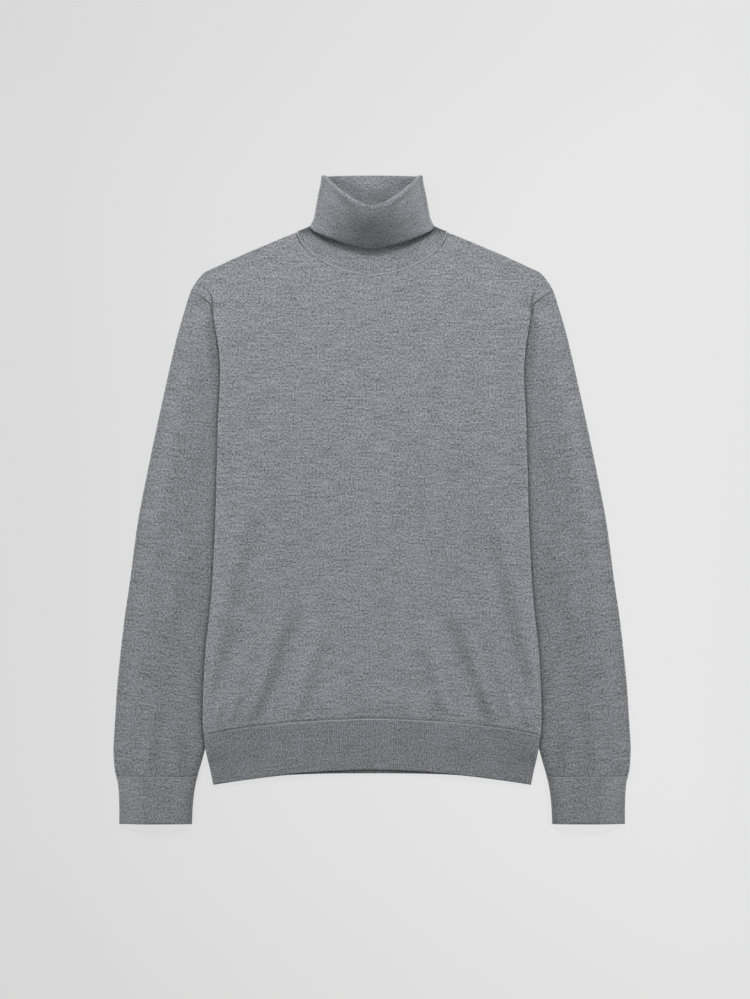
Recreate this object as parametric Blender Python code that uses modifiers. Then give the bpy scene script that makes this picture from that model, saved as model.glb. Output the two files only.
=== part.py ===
# Turtleneck sweater in fine-gauge knit, laid flat and face up.
# Metres. +Y runs up the garment to its neck, +Z up from the surface that it lies on, and
# z = 0 is that surface. Each piece is a grid of points on the middle surface of its knit,
# given its thickness by Solidify. The garment is the same on both sides of x = 0.
import math
from collections import namedtuple

import bpy

CLOTH = 0.0014              # thickness of the knit
SEAM_GAP = 0.0003           # what parts two pieces where they are sewn
LIE_GAP = 0.0006            # what parts the body from a sleeve that it lies on
FOLD_GAP = 0.0008           # clear space inside a pressed fold
PUFF = 0.0012               # how much further the front stands off the back in the middle
PUFF_REACH = 0.060          # from the side fold to where the front has its full puff
ARC_STEPS = 4               # faces round a fold

FOLD_RADIUS = (CLOTH + FOLD_GAP) / 2        # middle of the knit, round a pressed fold
FOLD_OUTER = FOLD_RADIUS + CLOTH / 2
SLEEVE_THICK = 2 * FOLD_OUTER               # a pressed sleeve, both walls
SLEEVE_CROWN = 0.0016                       # how much higher its upper wall stands beside the body
CROWN_START = 0.006                         # clear of the body's edge
CROWN_FADE = 0.045                          # from the armhole seam down to the full crown
RISE_START = 0.016                          # the back starts to climb this far from a sleeve
RISE_END = 0.004                            # and is up on it this far before its edge
FRONT_RISE_START = 0.080                    # the front, which bridges the step, starts earlier
FRONT_RISE_END = 0.012
BRIDGE_END_Y = -0.3300                      # low in the hem rib both layers climb together
BRIDGE_FULL_Y = -0.3020
SLOPE_STEP = 0.001                          # step over which an edge's slope is taken

# The body as it lies. Its side edge is a fold of the front, which goes on underneath.
Edge = namedtuple("Edge", "y x")

SIDE_FOLD = (
    Edge(-0.3500, 0.1946), Edge(-0.3200, 0.2009), Edge(-0.3020, 0.2047), Edge(-0.2700, 0.2073),
    Edge(-0.1970, 0.2046), Edge(-0.1240, 0.1972), Edge(-0.0500, 0.1927), Edge(0.0235, 0.1905),
    Edge(0.0970, 0.1885), Edge(0.1520, 0.1860), Edge(0.1800, 0.1874), Edge(0.2080, 0.1916),
    Edge(0.2356, 0.1960),
)
SIDE_SEAM = (               # where the turned-under front meets the back
    Edge(-0.3500, 0.1800), Edge(-0.2900, 0.1915), Edge(-0.2700, 0.1918), Edge(-0.2500, 0.1908),
    Edge(-0.1850, 0.1835), Edge(-0.1230, 0.1720), Edge(-0.0620, 0.1580), Edge(0.0000, 0.1400),
    Edge(0.0300, 0.1235), Edge(0.0640, 0.1184), Edge(0.0910, 0.1184),
)
ARMHOLE = (                 # from the underarm up to the bend where it comes out from the fold
    Edge(0.0910, 0.1200), Edge(0.1150, 0.1330), Edge(0.1450, 0.1500), Edge(0.1750, 0.1655),
    Edge(0.2050, 0.1800), Edge(0.2130, 0.1836), Edge(0.2200, 0.1870), Edge(0.2280, 0.1914),
    Edge(0.2356, 0.1960), Edge(0.2538, 0.2227),
)
SLEEVE_INNER = (            # cuff to underarm, the upper part hidden beneath the body
    Edge(-0.3976, 0.2204), Edge(-0.3783, 0.2196), Edge(-0.3587, 0.2177), Edge(-0.3391, 0.2138),
    Edge(-0.3195, 0.2081), Edge(-0.3000, 0.2030), Edge(-0.2500, 0.1905), Edge(-0.1850, 0.1765),
    Edge(-0.1230, 0.1645), Edge(-0.0620, 0.1496), Edge(0.0000, 0.1330), Edge(0.0600, 0.1205),
    Edge(0.0910, 0.1200),
)
SLEEVE_OUTER = (            # cuff to shoulder tip
    Edge(-0.3976, 0.3097), Edge(-0.3690, 0.3099), Edge(-0.3490, 0.3112), Edge(-0.3391, 0.3134),
    Edge(-0.3293, 0.3155), Edge(-0.3050, 0.3167), Edge(-0.2705, 0.3148), Edge(-0.2215, 0.3115),
    Edge(-0.1480, 0.3034), Edge(-0.0990, 0.2963), Edge(-0.0255, 0.2864), Edge(0.0480, 0.2721),
    Edge(0.1215, 0.2565), Edge(0.1950, 0.2399), Edge(0.2195, 0.2331), Edge(0.2538, 0.2227),
)
BEND_Y = 0.2356             # the armhole seam shows above this and is folded away below it
BEND_X = 0.1960
UNDERARM_Y = 0.0910
SHOULDER_TIP_Y = 0.2538     # the armhole seam's upper end, on the outline
BEND_EASE = 0.0080          # over this length below the bend the fold takes over from the seam
CUFF_SEAM_Y = -0.3398
CUFF_END_Y = -0.3976
FOLD_FULL_Y = 0.2050        # from here down the side is turned right under
LIFT_TOP_Y = 0.2560         # from here down the body climbs over the sleeve
LIFT_FULL_Y = 0.2130
UNDERARM_RISE = 0.030       # the back climbs onto the sleeve over this length below the underarm
UNDERARM_EASE = 0.006       # and starts this far below it

# Hem rib: its seam and its two lower edges are curves that drop towards the sides.
HEM_SIDE_TOP_Y = -0.2901
HEM_SIDE_END_Y = -0.3496
HEM_SEAM_DROP = 0.0218
HEM_SEAM_POWER = 1.7
HEM_CORNER_SHARE = 0.2      # this much of the drop comes only near the side folds
HEM_CORNER_POWER = 8.0
HEM_HALF = 0.2064
FRONT_HEM_DROP = 0.0181
FRONT_HEM_POWER = 1.75
BACK_HEM_DROP = 0.0138
BACK_HEM_POWER = 3.0
HEM_END_HALF = 0.1936

# Neckline and shoulders
NECK_HALF = 0.0925
NECK_POINT_Y = 0.3266
FRONT_NECK_Y = 0.2739
BACK_NECK_Y = 0.3120
NECK_ROUND = 1.7            # exponent of the front neckline's superellipse
BACK_NECK_POWER = 2.4
NECK_SHARE = 0.46           # share of a panel's top edge that is neckline
BACK_NECK_LIMIT = 0.75      # those columns stay within this share of the way to where it climbs
TIP_SHARE = 0.93            # and where its shoulder starts to round off
NECK_GAP = 0.0010           # front over back at the neck point
NECK_LIFT = 0.0018          # how much further the front neckline stands up in the middle
SHOULDER = (Edge(0.3266, 0.0925), Edge(0.3174, 0.1153), Edge(0.2978, 0.1615), Edge(0.2782, 0.2043))
SHOULDER_TIP = (0.2146, 0.2700)

# Soft troughs that run up and inwards from the hem, on both sides.
Trough = namedtuple("Trough", "low_x low_y high_x high_y depth half_width")
TROUGHS = (
    Trough(0.1800, -0.2100, 0.1349, -0.0255, 0.0011, 0.017),
    Trough(0.1349, -0.2560, 0.0822, -0.1357, 0.0010, 0.016),
    Trough(0.0980, -0.2600, 0.0700, -0.1500, 0.0007, 0.015),
)

# Roll neck: a row for each ring of the tube. The front of a ring is raised, its sides are
# folds and its back lies flat. The heights are those of the middle of the knit.
Ring = namedtuple(
    "Ring", "half front_y side_y low_y back_y front_z side_z back_z power roundness rise_power")
STAND = (
    Ring(0.0925, 0.2743, 0.3271, 0.3271, 0.3124, 0.0049, 0.0031, 0.0007, 2.0, 1.0, 2.6),
    Ring(0.0850, 0.2850, 0.3294, 0.3294, 0.3180, 0.0051, 0.0035, 0.0008, 2.4, 0.8, 2.6),
    Ring(0.0758, 0.2970, 0.3334, 0.3334, 0.3245, 0.0057, 0.0040, 0.0013, 2.4, 0.6, 2.6),
    Ring(0.0685, 0.3090, 0.3400, 0.3400, 0.3330, 0.0085, 0.0050, 0.0028, 2.4, 0.2, 2.6),
    Ring(0.0655, 0.3210, 0.3520, 0.3520, 0.3460, 0.0145, 0.0058, 0.0031, 2.4, 0.0, 2.6),
    Ring(0.0635, 0.3340, 0.3660, 0.3660, 0.3620, 0.0230, 0.0063, 0.0031, 2.4, 0.0, 2.6),
    Ring(0.0608, 0.3460, 0.3800, 0.3800, 0.3780, 0.0320, 0.0067, 0.0031, 2.3, 0.0, 2.6),
    Ring(0.0586, 0.3560, 0.3944, 0.3944, 0.3944, 0.0390, 0.0069, 0.0031, 2.2, 0.0, 2.6),
)
FLAP = (
    Ring(0.0630, 0.3480, 0.3855, 0.3855, 0.3860, 0.0398, 0.0093, 0.0007, 2.2, 0.0, 2.6),
    Ring(0.0656, 0.3395, 0.3740, 0.3745, 0.3760, 0.0348, 0.0092, 0.0007, 2.2, 0.0, 2.8),
    Ring(0.0680, 0.3295, 0.3600, 0.3620, 0.3640, 0.0287, 0.0090, 0.0007, 2.0, 0.0, 3.2),
    Ring(0.0696, 0.3195, 0.3470, 0.3510, 0.3530, 0.0222, 0.0087, 0.0007, 1.8, 0.0, 3.8),
    Ring(0.0712, 0.3136, 0.3390, 0.3460, 0.3450, 0.0181, 0.0085, 0.0007, 1.7, 0.0, 4.4),
    Ring(0.0746, 0.3087, 0.3318, 0.3430, 0.3400, 0.0146, 0.0083, 0.0007, 1.6, 0.0, 5.0),
)
FRONT_FOLD_RADIUS = 0.0022  # middle of the knit round the top fold, rounder in the raised front
BACK_FOLD_RADIUS = 0.0012
RISE_POWER = 2.6            # how flat-topped the front neckline is, like the collar's first ring

NECK_COLUMNS = 6            # faces of half the front's neckline, and of the ring sewn to it
BACK_NECK_COLUMNS = 4       # the same at the back
SIDE_COLUMNS = 8            # from there to the front's side fold
BODY_COLUMNS = NECK_COLUMNS + SIDE_COLUMNS
EDGE_COLUMNS = 2            # faces across the strip that is turned under
EDGE_STRIP = 0.008          # the same columns' width where nothing is turned under
SHORT_STRIP = 0.0005        # and where the fold begins
BODY_ROWS = 13              # hem seam to underarm; above it a row for each row of ARMHOLE
YOKE_ROWS = 7               # from there to neckline and shoulders
BACK_COLUMNS = 2            # faces beside the back's neckline, up to where it climbs
RISE_COLUMNS = 3            # and where it climbs onto a sleeve
HEM_ROWS = 5
SLEEVE_ROWS = 15
CUFF_ROWS = 3

Finish = namedtuple("Finish", "name colour roughness")
JERSEY = Finish("grey_melange_jersey", (0.25, 0.253, 0.27), 0.92)
RIB = Finish("grey_melange_rib", (0.22, 0.223, 0.24), 0.92)


def blend(a, b, t):
    return a + (b - a) * t


def ease(t):
    # Smooth step from 0 to 1.
    t = min(max(t, 0.0), 1.0)
    return t * t * (3 - 2 * t)


def follow(edge, y):
    # x of an edge at height y, on a smooth curve through the edge's rows.
    rows = sorted(edge)
    y = min(max(y, rows[0].y), rows[-1].y)
    i = next(k for k in range(len(rows) - 1) if y <= rows[k + 1].y)

    def slope(k):
        before = rows[max(k - 1, 0)]
        after = rows[min(k + 1, len(rows) - 1)]
        return (after.x - before.x) / (after.y - before.y)

    span = rows[i + 1].y - rows[i].y
    t = (y - rows[i].y) / span
    start = (2 * t ** 3 - 3 * t ** 2 + 1) * rows[i].x + (t ** 3 - 2 * t ** 2 + t) * span * slope(i)
    end = (3 * t ** 2 - 2 * t ** 3) * rows[i + 1].x + (t ** 3 - t ** 2) * span * slope(i + 1)
    return start + end


def armhole_x(y, side):
    # x of the armhole seam; side is -1 on the body's edge and 1 on the sleeve's.
    if y > BEND_Y:
        slope = (ARMHOLE[-1].x - BEND_X) / (SHOULDER_TIP_Y - BEND_Y)
        x = BEND_X + slope * (y - BEND_Y)
    else:
        x = follow(ARMHOLE[:-1], y)
        slope = (x - follow(ARMHOLE[:-1], y - SLOPE_STEP)) / SLOPE_STEP
    return x + side * SEAM_GAP / 2 * math.hypot(1, slope)


def sleeve_inner_x(y):
    if y > UNDERARM_Y:
        return armhole_x(y, -1)
    return follow(SLEEVE_INNER, y)


def climb(x, y, start, end):
    # How high a layer of the body lies when it climbs onto a sleeve between two distances from it.
    across = ease((abs(x) - sleeve_inner_x(y) + start) / (start - end))
    along = ease((LIFT_TOP_Y - y) / (LIFT_TOP_Y - LIFT_FULL_Y))
    return (SLEEVE_THICK + LIE_GAP) * across * along


def lift(x, y):
    # How high the body's underside lies: on the surface, or on a sleeve's inner margin.
    return climb(x, y, RISE_START, RISE_END)


def front_lift(x, y):
    # The same for the front, which bridges the step beside the sleeve.
    bridge = ease((y - BRIDGE_END_Y) / (BRIDGE_FULL_Y - BRIDGE_END_Y))
    return blend(lift(x, y), climb(x, y, FRONT_RISE_START, FRONT_RISE_END), bridge)


def trough_depth(x, y):
    depth = 0.0
    for trough in TROUGHS:
        run_x = trough.high_x - trough.low_x
        run_y = trough.high_y - trough.low_y
        length = math.hypot(run_x, run_y)
        along = ((abs(x) - trough.low_x) * run_x + (y - trough.low_y) * run_y) / length ** 2
        off = ((abs(x) - trough.low_x) * run_y - (y - trough.low_y) * run_x) / length
        # It starts a quarter of its length before its low end and dies out towards its high end.
        fade = ease(along * 4 + 1) * ease((1 - along) * 2 + 0.5)
        depth += trough.depth * fade * math.exp(-(off / trough.half_width) ** 2)
    return depth


def front_gap(x, y, fold_x):
    # Clear space between the front and the back.
    return FOLD_GAP + PUFF * ease((fold_x - abs(x)) / PUFF_REACH) - trough_depth(x, y)


def sleeve_height(x, y):
    # Thickness of a sleeve over both walls, fuller where it shows beside the body.
    edge = follow(SIDE_FOLD, min(y, BEND_Y)) if y > HEM_SIDE_END_Y else sleeve_inner_x(y)
    start = max(edge, sleeve_inner_x(y)) + CROWN_START
    end = follow(SLEEVE_OUTER, y) - FOLD_OUTER
    t = min(max((x - start) / (end - start), 0.0), 1.0)
    full = ease((BEND_Y - y) / CROWN_FADE)
    return SLEEVE_THICK + SLEEVE_CROWN * full * math.sin(math.pi * t) ** 2


def hem_seam_rise(x):
    # How far the hem seam lies above its own ends.
    q = min(abs(x) / HEM_HALF, 1.0)
    drop = blend(q ** HEM_SEAM_POWER, q ** HEM_CORNER_POWER, HEM_CORNER_SHARE)
    return HEM_SEAM_DROP * (1 - drop)


def mirrored(half):
    # A whole row from its half at positive x, which starts on x = 0.
    other = [(-x, y, z) for x, y, z in half]
    return other[:0:-1] + half


def front_neck_share(i):
    # Share of the half neckline at which a column of the front meets it.
    even = i / NECK_COLUMNS
    return blend(even, math.sin(math.pi / 2 * even), 0.5)


def front_share(i):
    # Share of the half width at which a column of the front lies.
    if i <= NECK_COLUMNS:
        return NECK_SHARE * front_neck_share(i)
    return blend(NECK_SHARE, 1.0, (i - NECK_COLUMNS) / SIDE_COLUMNS)


def back_columns(end_x, y):
    # x of the back's columns, with some of them where it climbs onto a sleeve.
    start = min(sleeve_inner_x(y) - RISE_START, end_x - RISE_START)
    full = min(sleeve_inner_x(y) - RISE_END, end_x - RISE_END / 2)
    neck = min(NECK_SHARE * end_x, BACK_NECK_LIMIT * start)
    middle = [neck * i / BACK_NECK_COLUMNS for i in range(BACK_NECK_COLUMNS)]
    plain = [blend(neck, start, i / BACK_COLUMNS) for i in range(BACK_COLUMNS)]
    rise = [blend(start, full, i / RISE_COLUMNS) for i in range(RISE_COLUMNS + 1)]
    return middle + plain + rise + [end_x]


def side_rows():
    # Heights of a panel's rows at its side, hem seam first, each with its share of the way up.
    start = HEM_SIDE_TOP_Y + SEAM_GAP / 2
    low = [blend(start, UNDERARM_Y, i / BODY_ROWS) for i in range(BODY_ROWS)]
    heights = low + [row.y for row in ARMHOLE if row.y <= BEND_Y]
    return [(y, (y - start) / (BEND_Y - start)) for y in heights]


def front_half(side_y, fade):
    # Half a row of the front panel from the middle to its cut edge, at the height of its side.
    # fade is how much of the hem seam's curve this row still has.
    fold_x = follow(SIDE_FOLD, side_y)
    centre_x = fold_x - FOLD_OUTER
    turn = math.pi * ease((BEND_Y - side_y) / (BEND_Y - FOLD_FULL_Y))
    flat_end = blend(armhole_x(BEND_Y, -1), centre_x, ease((BEND_Y - side_y) / BEND_EASE))
    row = []
    for i in range(BODY_COLUMNS + 1):
        x = (flat_end if turn > 0.0 else flat_end - EDGE_STRIP) * front_share(i)
        y = side_y + hem_seam_rise(x) * fade
        z = front_lift(x, y) + CLOTH * 1.5 + front_gap(x, y, fold_x)
        row.append((x, y, z))
    if turn == 0.0:
        steps = ARC_STEPS + EDGE_COLUMNS
        for i in range(1, steps + 1):
            row.append((flat_end - EDGE_STRIP * (1 - i / steps), row[-1][1], row[-1][2]))
        return row
    fold_y = row[-1][1]
    centre_z = row[-1][2] - FOLD_RADIUS
    for i in range(1, ARC_STEPS + 1):
        angle = turn * i / ARC_STEPS
        x = flat_end + FOLD_RADIUS * math.sin(angle)
        row.append((x, fold_y, centre_z + FOLD_RADIUS * math.cos(angle)))
    turned_x, _, turned_z = row[-1]
    for i in range(1, EDGE_COLUMNS + 1):
        if turn == math.pi:
            x = blend(turned_x, under_edge_x(side_y), i / EDGE_COLUMNS)
            y = side_y + hem_seam_rise(x) * fade
            row.append((x, y, lift(x, y) + CLOTH / 2))
        else:
            reach = SHORT_STRIP * i / EDGE_COLUMNS
            row.append((turned_x + reach * math.cos(turn), fold_y, turned_z - reach * math.sin(turn)))
    return row


def under_edge_x(y):
    # Where the turned-under strip of the front ends.
    if y > UNDERARM_Y:
        return armhole_x(y, 1)
    return follow(SIDE_SEAM, y) + SEAM_GAP / 2


def top_edge(share, neck_share, neck_y, neck_shape):
    # A point of a panel's top edge: neckline, shoulder, then the rounded shoulder tip.
    if share <= neck_share:
        q = share / neck_share
        return NECK_HALF * q, blend(neck_y, NECK_POINT_Y, neck_shape(q))
    tip_x, tip_y = SHOULDER_TIP
    if share <= TIP_SHARE:
        t = (share - neck_share) / (TIP_SHARE - neck_share)
        y = blend(NECK_POINT_Y, SHOULDER[-1].y, t)
        return follow(SHOULDER, y), y
    t = (share - TIP_SHARE) / (1 - TIP_SHARE)
    end_x = armhole_x(SHOULDER_TIP_Y, -1)
    x = (1 - t) ** 2 * SHOULDER[-1].x + 2 * t * (1 - t) * tip_x + t ** 2 * end_x
    y = (1 - t) ** 2 * SHOULDER[-1].y + 2 * t * (1 - t) * tip_y + t ** 2 * SHOULDER_TIP_Y
    return x, y


def front_neck_shape(q):
    # From 0 in the middle of the front neckline to 1 at the neck point.
    return 1 - (1 - min(q, 1.0) ** NECK_ROUND) ** (1 / NECK_ROUND)


def back_neck_shape(q):
    return min(q, 1.0) ** BACK_NECK_POWER


def yoke_rows(base, neck_columns, neck_y, neck_shape, top_height):
    # Rows from a straight base row up to the neckline and the shoulder.
    rows = []
    width = base[-1][0]
    neck_share = base[neck_columns][0] / width
    for r in range(1, YOKE_ROWS + 1):
        t = r / YOKE_ROWS
        row = []
        for x0, y0, z0 in base:
            share = x0 / width
            x1, y1 = top_edge(share, neck_share, neck_y, neck_shape)
            z = blend(z0, top_height(share, neck_share), ease(t))
            row.append((blend(x0, x1, t), blend(y0, y1, t), z))
        rows.append(row)
    return rows


def front_top_height(share, neck_share):
    # Height of the front's middle surface along its top edge.
    on_back = CLOTH * 1.5 + SEAM_GAP
    if share <= neck_share:
        q = share / neck_share
        return CLOTH * 1.5 + NECK_GAP + NECK_LIFT * (1 - q ** RISE_POWER)
    if share <= TIP_SHARE:
        t = (share - neck_share) / (TIP_SHARE - neck_share)
        return blend(CLOTH * 1.5 + NECK_GAP, on_back, ease(t * 3))
    return blend(on_back, CLOTH * 1.5 + FOLD_GAP, ease((share - TIP_SHARE) / (1 - TIP_SHARE)))


def front_panel_grid():
    halves = [front_half(side_y, (1 - t) ** 2) for side_y, t in side_rows()]
    halves += yoke_rows(halves[-1], NECK_COLUMNS, FRONT_NECK_Y, front_neck_shape, front_top_height)
    return [mirrored(half) for half in halves]


def back_height(x, y):
    risen = ease((UNDERARM_Y - UNDERARM_EASE - y) / UNDERARM_RISE)
    return lift(x, y) * risen + CLOTH / 2


def back_panel_grid():
    halves = []
    for side_y, t in side_rows():
        if side_y > UNDERARM_Y:
            end_x = armhole_x(side_y, -1)
        else:
            end_x = follow(SIDE_SEAM, side_y) - SEAM_GAP / 2
        half = []
        for x in back_columns(end_x, side_y):
            y = side_y + hem_seam_rise(x) * (1 - t) ** 2
            half.append((x, y, back_height(x, y)))
        halves.append(half)

    def flat(share, neck_share):
        return CLOTH / 2

    halves += yoke_rows(halves[-1], BACK_NECK_COLUMNS, BACK_NECK_Y, back_neck_shape, flat)
    return [mirrored(half) for half in halves]


def hem_band_grid():
    # Closed rings round the body, front layer first.
    rings = []
    for r in range(HEM_ROWS + 1):
        t = r / HEM_ROWS
        side_y = blend(HEM_SIDE_TOP_Y - SEAM_GAP / 2, HEM_SIDE_END_Y, t)
        fold_x = follow(SIDE_FOLD, side_y)
        centre_x = fold_x - FOLD_OUTER

        def row_y(x, drop, power, middle_y):
            end_y = middle_y - drop * min(abs(x) / HEM_END_HALF, 1.0) ** power
            return blend(HEM_SIDE_TOP_Y - SEAM_GAP / 2 + hem_seam_rise(x), end_y, t)

        front = []
        back = []
        for i in range(BODY_COLUMNS + 1):
            x = centre_x * front_share(i)
            y = row_y(x, FRONT_HEM_DROP, FRONT_HEM_POWER, HEM_SIDE_END_Y + FRONT_HEM_DROP)
            front.append((x, y, front_lift(x, y) + CLOTH * 1.5 + front_gap(x, y, fold_x)))
        for x in back_columns(centre_x, side_y):
            y = row_y(x, BACK_HEM_DROP, BACK_HEM_POWER, HEM_SIDE_END_Y + BACK_HEM_DROP)
            back.append((x, y, lift(x, y) + CLOTH / 2))
        fold = fold_arc(front[-2:], back[-2:])
        half = front + fold + back[::-1]
        whole = half[:-1] + [(-x, y, z) for x, y, z in half[:0:-1]]
        rings.append(whole)
    return rings


def fold_arc(upper_end, lower_end):
    # Points round a fold between the ends of an upper and a lower layer, without those ends.
    # Each layer is given by its last two points.
    beside_upper, upper = upper_end
    beside_lower, lower = lower_end
    radius = (upper[2] - lower[2]) / 2
    over = unit((upper[0] - beside_upper[0], upper[1] - beside_upper[1], 0.0))
    under = unit((lower[0] - beside_lower[0], lower[1] - beside_lower[1], 0.0))
    away = unit((over[0] + under[0], over[1] + under[1], 0.0))
    points = []
    for i in range(1, ARC_STEPS):
        angle = math.pi * i / ARC_STEPS
        share = i / ARC_STEPS
        x = blend(upper[0], lower[0], share) + away[0] * radius * math.sin(angle)
        y = blend(upper[1], lower[1], share) + away[1] * radius * math.sin(angle)
        points.append((x, y, (upper[2] + lower[2]) / 2 + radius * math.cos(angle)))
    return points


def flat_tube_ring(inner, outer, bow):
    # One ring of a sleeve or cuff, from its inner fold over the top to its outer fold and back.
    # bow moves the point at a given share of the width, for a slanted or curved end.
    width = math.hypot(outer[0] - inner[0], outer[1] - inner[1])
    margin = FOLD_OUTER / width

    def place(share):
        shift = bow(share)
        x = blend(inner[0], outer[0], share) + shift[0]
        y = blend(inner[1], outer[1], share) + shift[1]
        return x, y

    shares = [(row.y - UNDERARM_Y) / (SHOULDER_TIP_Y - UNDERARM_Y) for row in ARMHOLE]
    shares = [margin] + shares[1:-1] + [1 - margin]
    upper = []
    lower = []
    for share in shares:
        x, y = place(share)
        height = SLEEVE_THICK if share in (margin, 1 - margin) else sleeve_height(x, y)
        upper.append((x, y, height - CLOTH / 2))
        lower.append((x, y, CLOTH / 2))

    def fold(centre, beside, edge, way):
        above = follow(edge, centre[1] + SLOPE_STEP)
        below = follow(edge, centre[1] - SLOPE_STEP)
        square = unit((way, -way * (above - below) / (2 * SLOPE_STEP), 0.0))
        straight = unit((centre[0] - beside[0], centre[1] - beside[1], 0.0))
        away = unit((square[0] + straight[0], square[1] + straight[1], 0.0))
        points = []
        for i in range(1, ARC_STEPS):
            angle = math.pi * i / ARC_STEPS
            reach = FOLD_RADIUS * math.sin(angle)
            z = FOLD_OUTER + FOLD_RADIUS * math.cos(angle)
            points.append((centre[0] + away[0] * reach, centre[1] + away[1] * reach, z))
        return points

    outer_fold = fold(upper[-1], place(1 - 2 * margin), SLEEVE_OUTER, 1)
    inner_fold = fold(upper[0], place(2 * margin), SLEEVE_INNER, -1)
    return upper + outer_fold + lower[::-1] + inner_fold[::-1]


def sleeve_grid():
    top_inner = UNDERARM_Y
    top_outer = SHOULDER_TIP_Y
    end_y = CUFF_SEAM_Y + SEAM_GAP / 2
    rings = []
    for r in range(SLEEVE_ROWS + 1):
        t = r / SLEEVE_ROWS
        inner_y = blend(top_inner, end_y, t)
        outer_y = blend(top_outer, end_y, t)
        inner = (follow(SLEEVE_INNER, inner_y), inner_y)
        outer = (follow(SLEEVE_OUTER, outer_y), outer_y)

        def bow(share):
            y = blend(top_inner, top_outer, share)
            straight = blend(armhole_x(top_inner, 1), armhole_x(top_outer, 1), share)
            return (armhole_x(y, 1) - straight) * (1 - t) ** 3, 0.0

        rings.append(flat_tube_ring(inner, outer, bow))
    return rings


def cuff_grid():
    def straight(share):
        return 0.0, 0.0

    rings = []
    for r in range(CUFF_ROWS + 1):
        y = blend(CUFF_SEAM_Y - SEAM_GAP / 2, CUFF_END_Y, r / CUFF_ROWS)
        rings.append(flat_tube_ring((follow(SLEEVE_INNER, y), y), (follow(SLEEVE_OUTER, y), y), straight))
    return rings


def neck_ring(ring):
    # One closed ring of the roll neck, from the middle of the front round by +x to the back.
    radius = (ring.side_z - ring.back_z) / 2
    reach = ring.half - radius

    def front_y(q):
        shape = blend(q ** ring.power, front_neck_shape(q), ring.roundness)
        return blend(ring.front_y, ring.side_y, shape)

    half = []
    for i in range(NECK_COLUMNS + 1):
        q = front_neck_share(i)
        z = blend(ring.side_z, ring.front_z, 1 - q ** ring.rise_power)
        half.append((reach * q, front_y(q), z))
    back = []
    for i in range(BACK_NECK_COLUMNS, -1, -1):
        q = i / BACK_NECK_COLUMNS
        back.append((reach * q, blend(ring.back_y, ring.low_y, back_neck_shape(q)), ring.back_z))
    half += fold_arc(half[-2:], (back[1], back[0])) + back
    return half[:-1] + [(-x, y, z) for x, y, z in half[:0:-1]]


def subtract(a, b):
    return tuple(p - q for p, q in zip(a, b))


def unit(v):
    size = math.sqrt(sum(c * c for c in v))
    return tuple(c / size for c in v)


def cross(a, b):
    return (a[1] * b[2] - a[2] * b[1], a[2] * b[0] - a[0] * b[2], a[0] * b[1] - a[1] * b[0])


def top_fold(last, before):
    # Rings round the top fold, from the end of the stand out and over to the start of the flap.
    end = STAND[-1]
    count = len(last)
    rings = [[] for _ in range(ARC_STEPS)]
    for i in range(count):
        around = unit(subtract(last[(i + 1) % count], last[i - 1]))
        up = unit(subtract(last[i], before[i]))
        out = unit(cross(around, up))
        up = cross(out, around)
        front = ease((last[i][2] - end.side_z) / (end.front_z - end.side_z))
        radius = blend(BACK_FOLD_RADIUS, FRONT_FOLD_RADIUS, front)
        for k in range(ARC_STEPS):
            angle = math.pi * (k + 1) / ARC_STEPS
            forward = radius * math.sin(angle)
            outward = radius * (1 - math.cos(angle))
            rings[k].append(tuple(
                p + u * forward + o * outward for p, u, o in zip(last[i], up, out)))
    return rings


def collar_grid():
    stand = [neck_ring(ring) for ring in STAND]
    flap = [neck_ring(ring) for ring in FLAP]
    return stand + top_fold(stand[-1], stand[-2]) + flap


def other_side(grid):
    return [[(-x, y, z) for x, y, z in row] for row in grid]


def material(finish):
    found = bpy.data.materials.get(finish.name)
    if found:
        return found
    made = bpy.data.materials.new(finish.name)
    made.use_nodes = True
    shader = made.node_tree.nodes["Principled BSDF"]
    shader.inputs["Base Color"].default_value = (*finish.colour, 1.0)
    shader.inputs["Roughness"].default_value = finish.roughness
    shader.inputs["Metallic"].default_value = 0.0
    return made


def add_cloth(collection, name, grid, closed, finish):
    # A piece of knit from a grid of points on its middle surface.
    columns = len(grid[0])
    points = [point for row in grid for point in row]
    last = columns if closed else columns - 1
    faces = []
    for r in range(len(grid) - 1):
        for c in range(last):
            right = (c + 1) % columns
            faces.append((r * columns + c, r * columns + right,
                          (r + 1) * columns + right, (r + 1) * columns + c))
    mesh = bpy.data.meshes.new(name)
    mesh.from_pydata(points, [], faces)
    mesh.validate()
    mesh.materials.append(material(finish))
    mesh.shade_smooth()
    mesh.set_sharp_from_angle(angle=math.radians(50))
    piece = bpy.data.objects.new(name, mesh)
    collection.objects.link(piece)
    wall = piece.modifiers.new("wall", "SOLIDIFY")
    wall.thickness = CLOTH
    wall.offset = 0.0
    wall.use_even_offset = True
    return piece


def main():
    for old in list(bpy.data.objects):
        bpy.data.objects.remove(old, do_unlink=True)
    sweater = bpy.data.collections.new("turtleneck_sweater")
    bpy.context.scene.collection.children.link(sweater)

    add_cloth(sweater, "back_panel", back_panel_grid(), False, JERSEY)
    add_cloth(sweater, "front_panel", front_panel_grid(), False, JERSEY)
    add_cloth(sweater, "hem_band", hem_band_grid(), True, RIB)
    for name, turned in (("left", False), ("right", True)):
        sleeve = sleeve_grid()
        cuff = cuff_grid()
        if turned:
            sleeve = other_side(sleeve)
            cuff = other_side(cuff)
        add_cloth(sweater, "sleeve_" + name, sleeve, True, JERSEY)
        add_cloth(sweater, "cuff_" + name, cuff, True, RIB)
    add_cloth(sweater, "collar", collar_grid(), True, RIB)


main()
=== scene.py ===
import math
from collections import namedtuple

import bpy
import numpy as np
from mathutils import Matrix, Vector, noise


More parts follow.
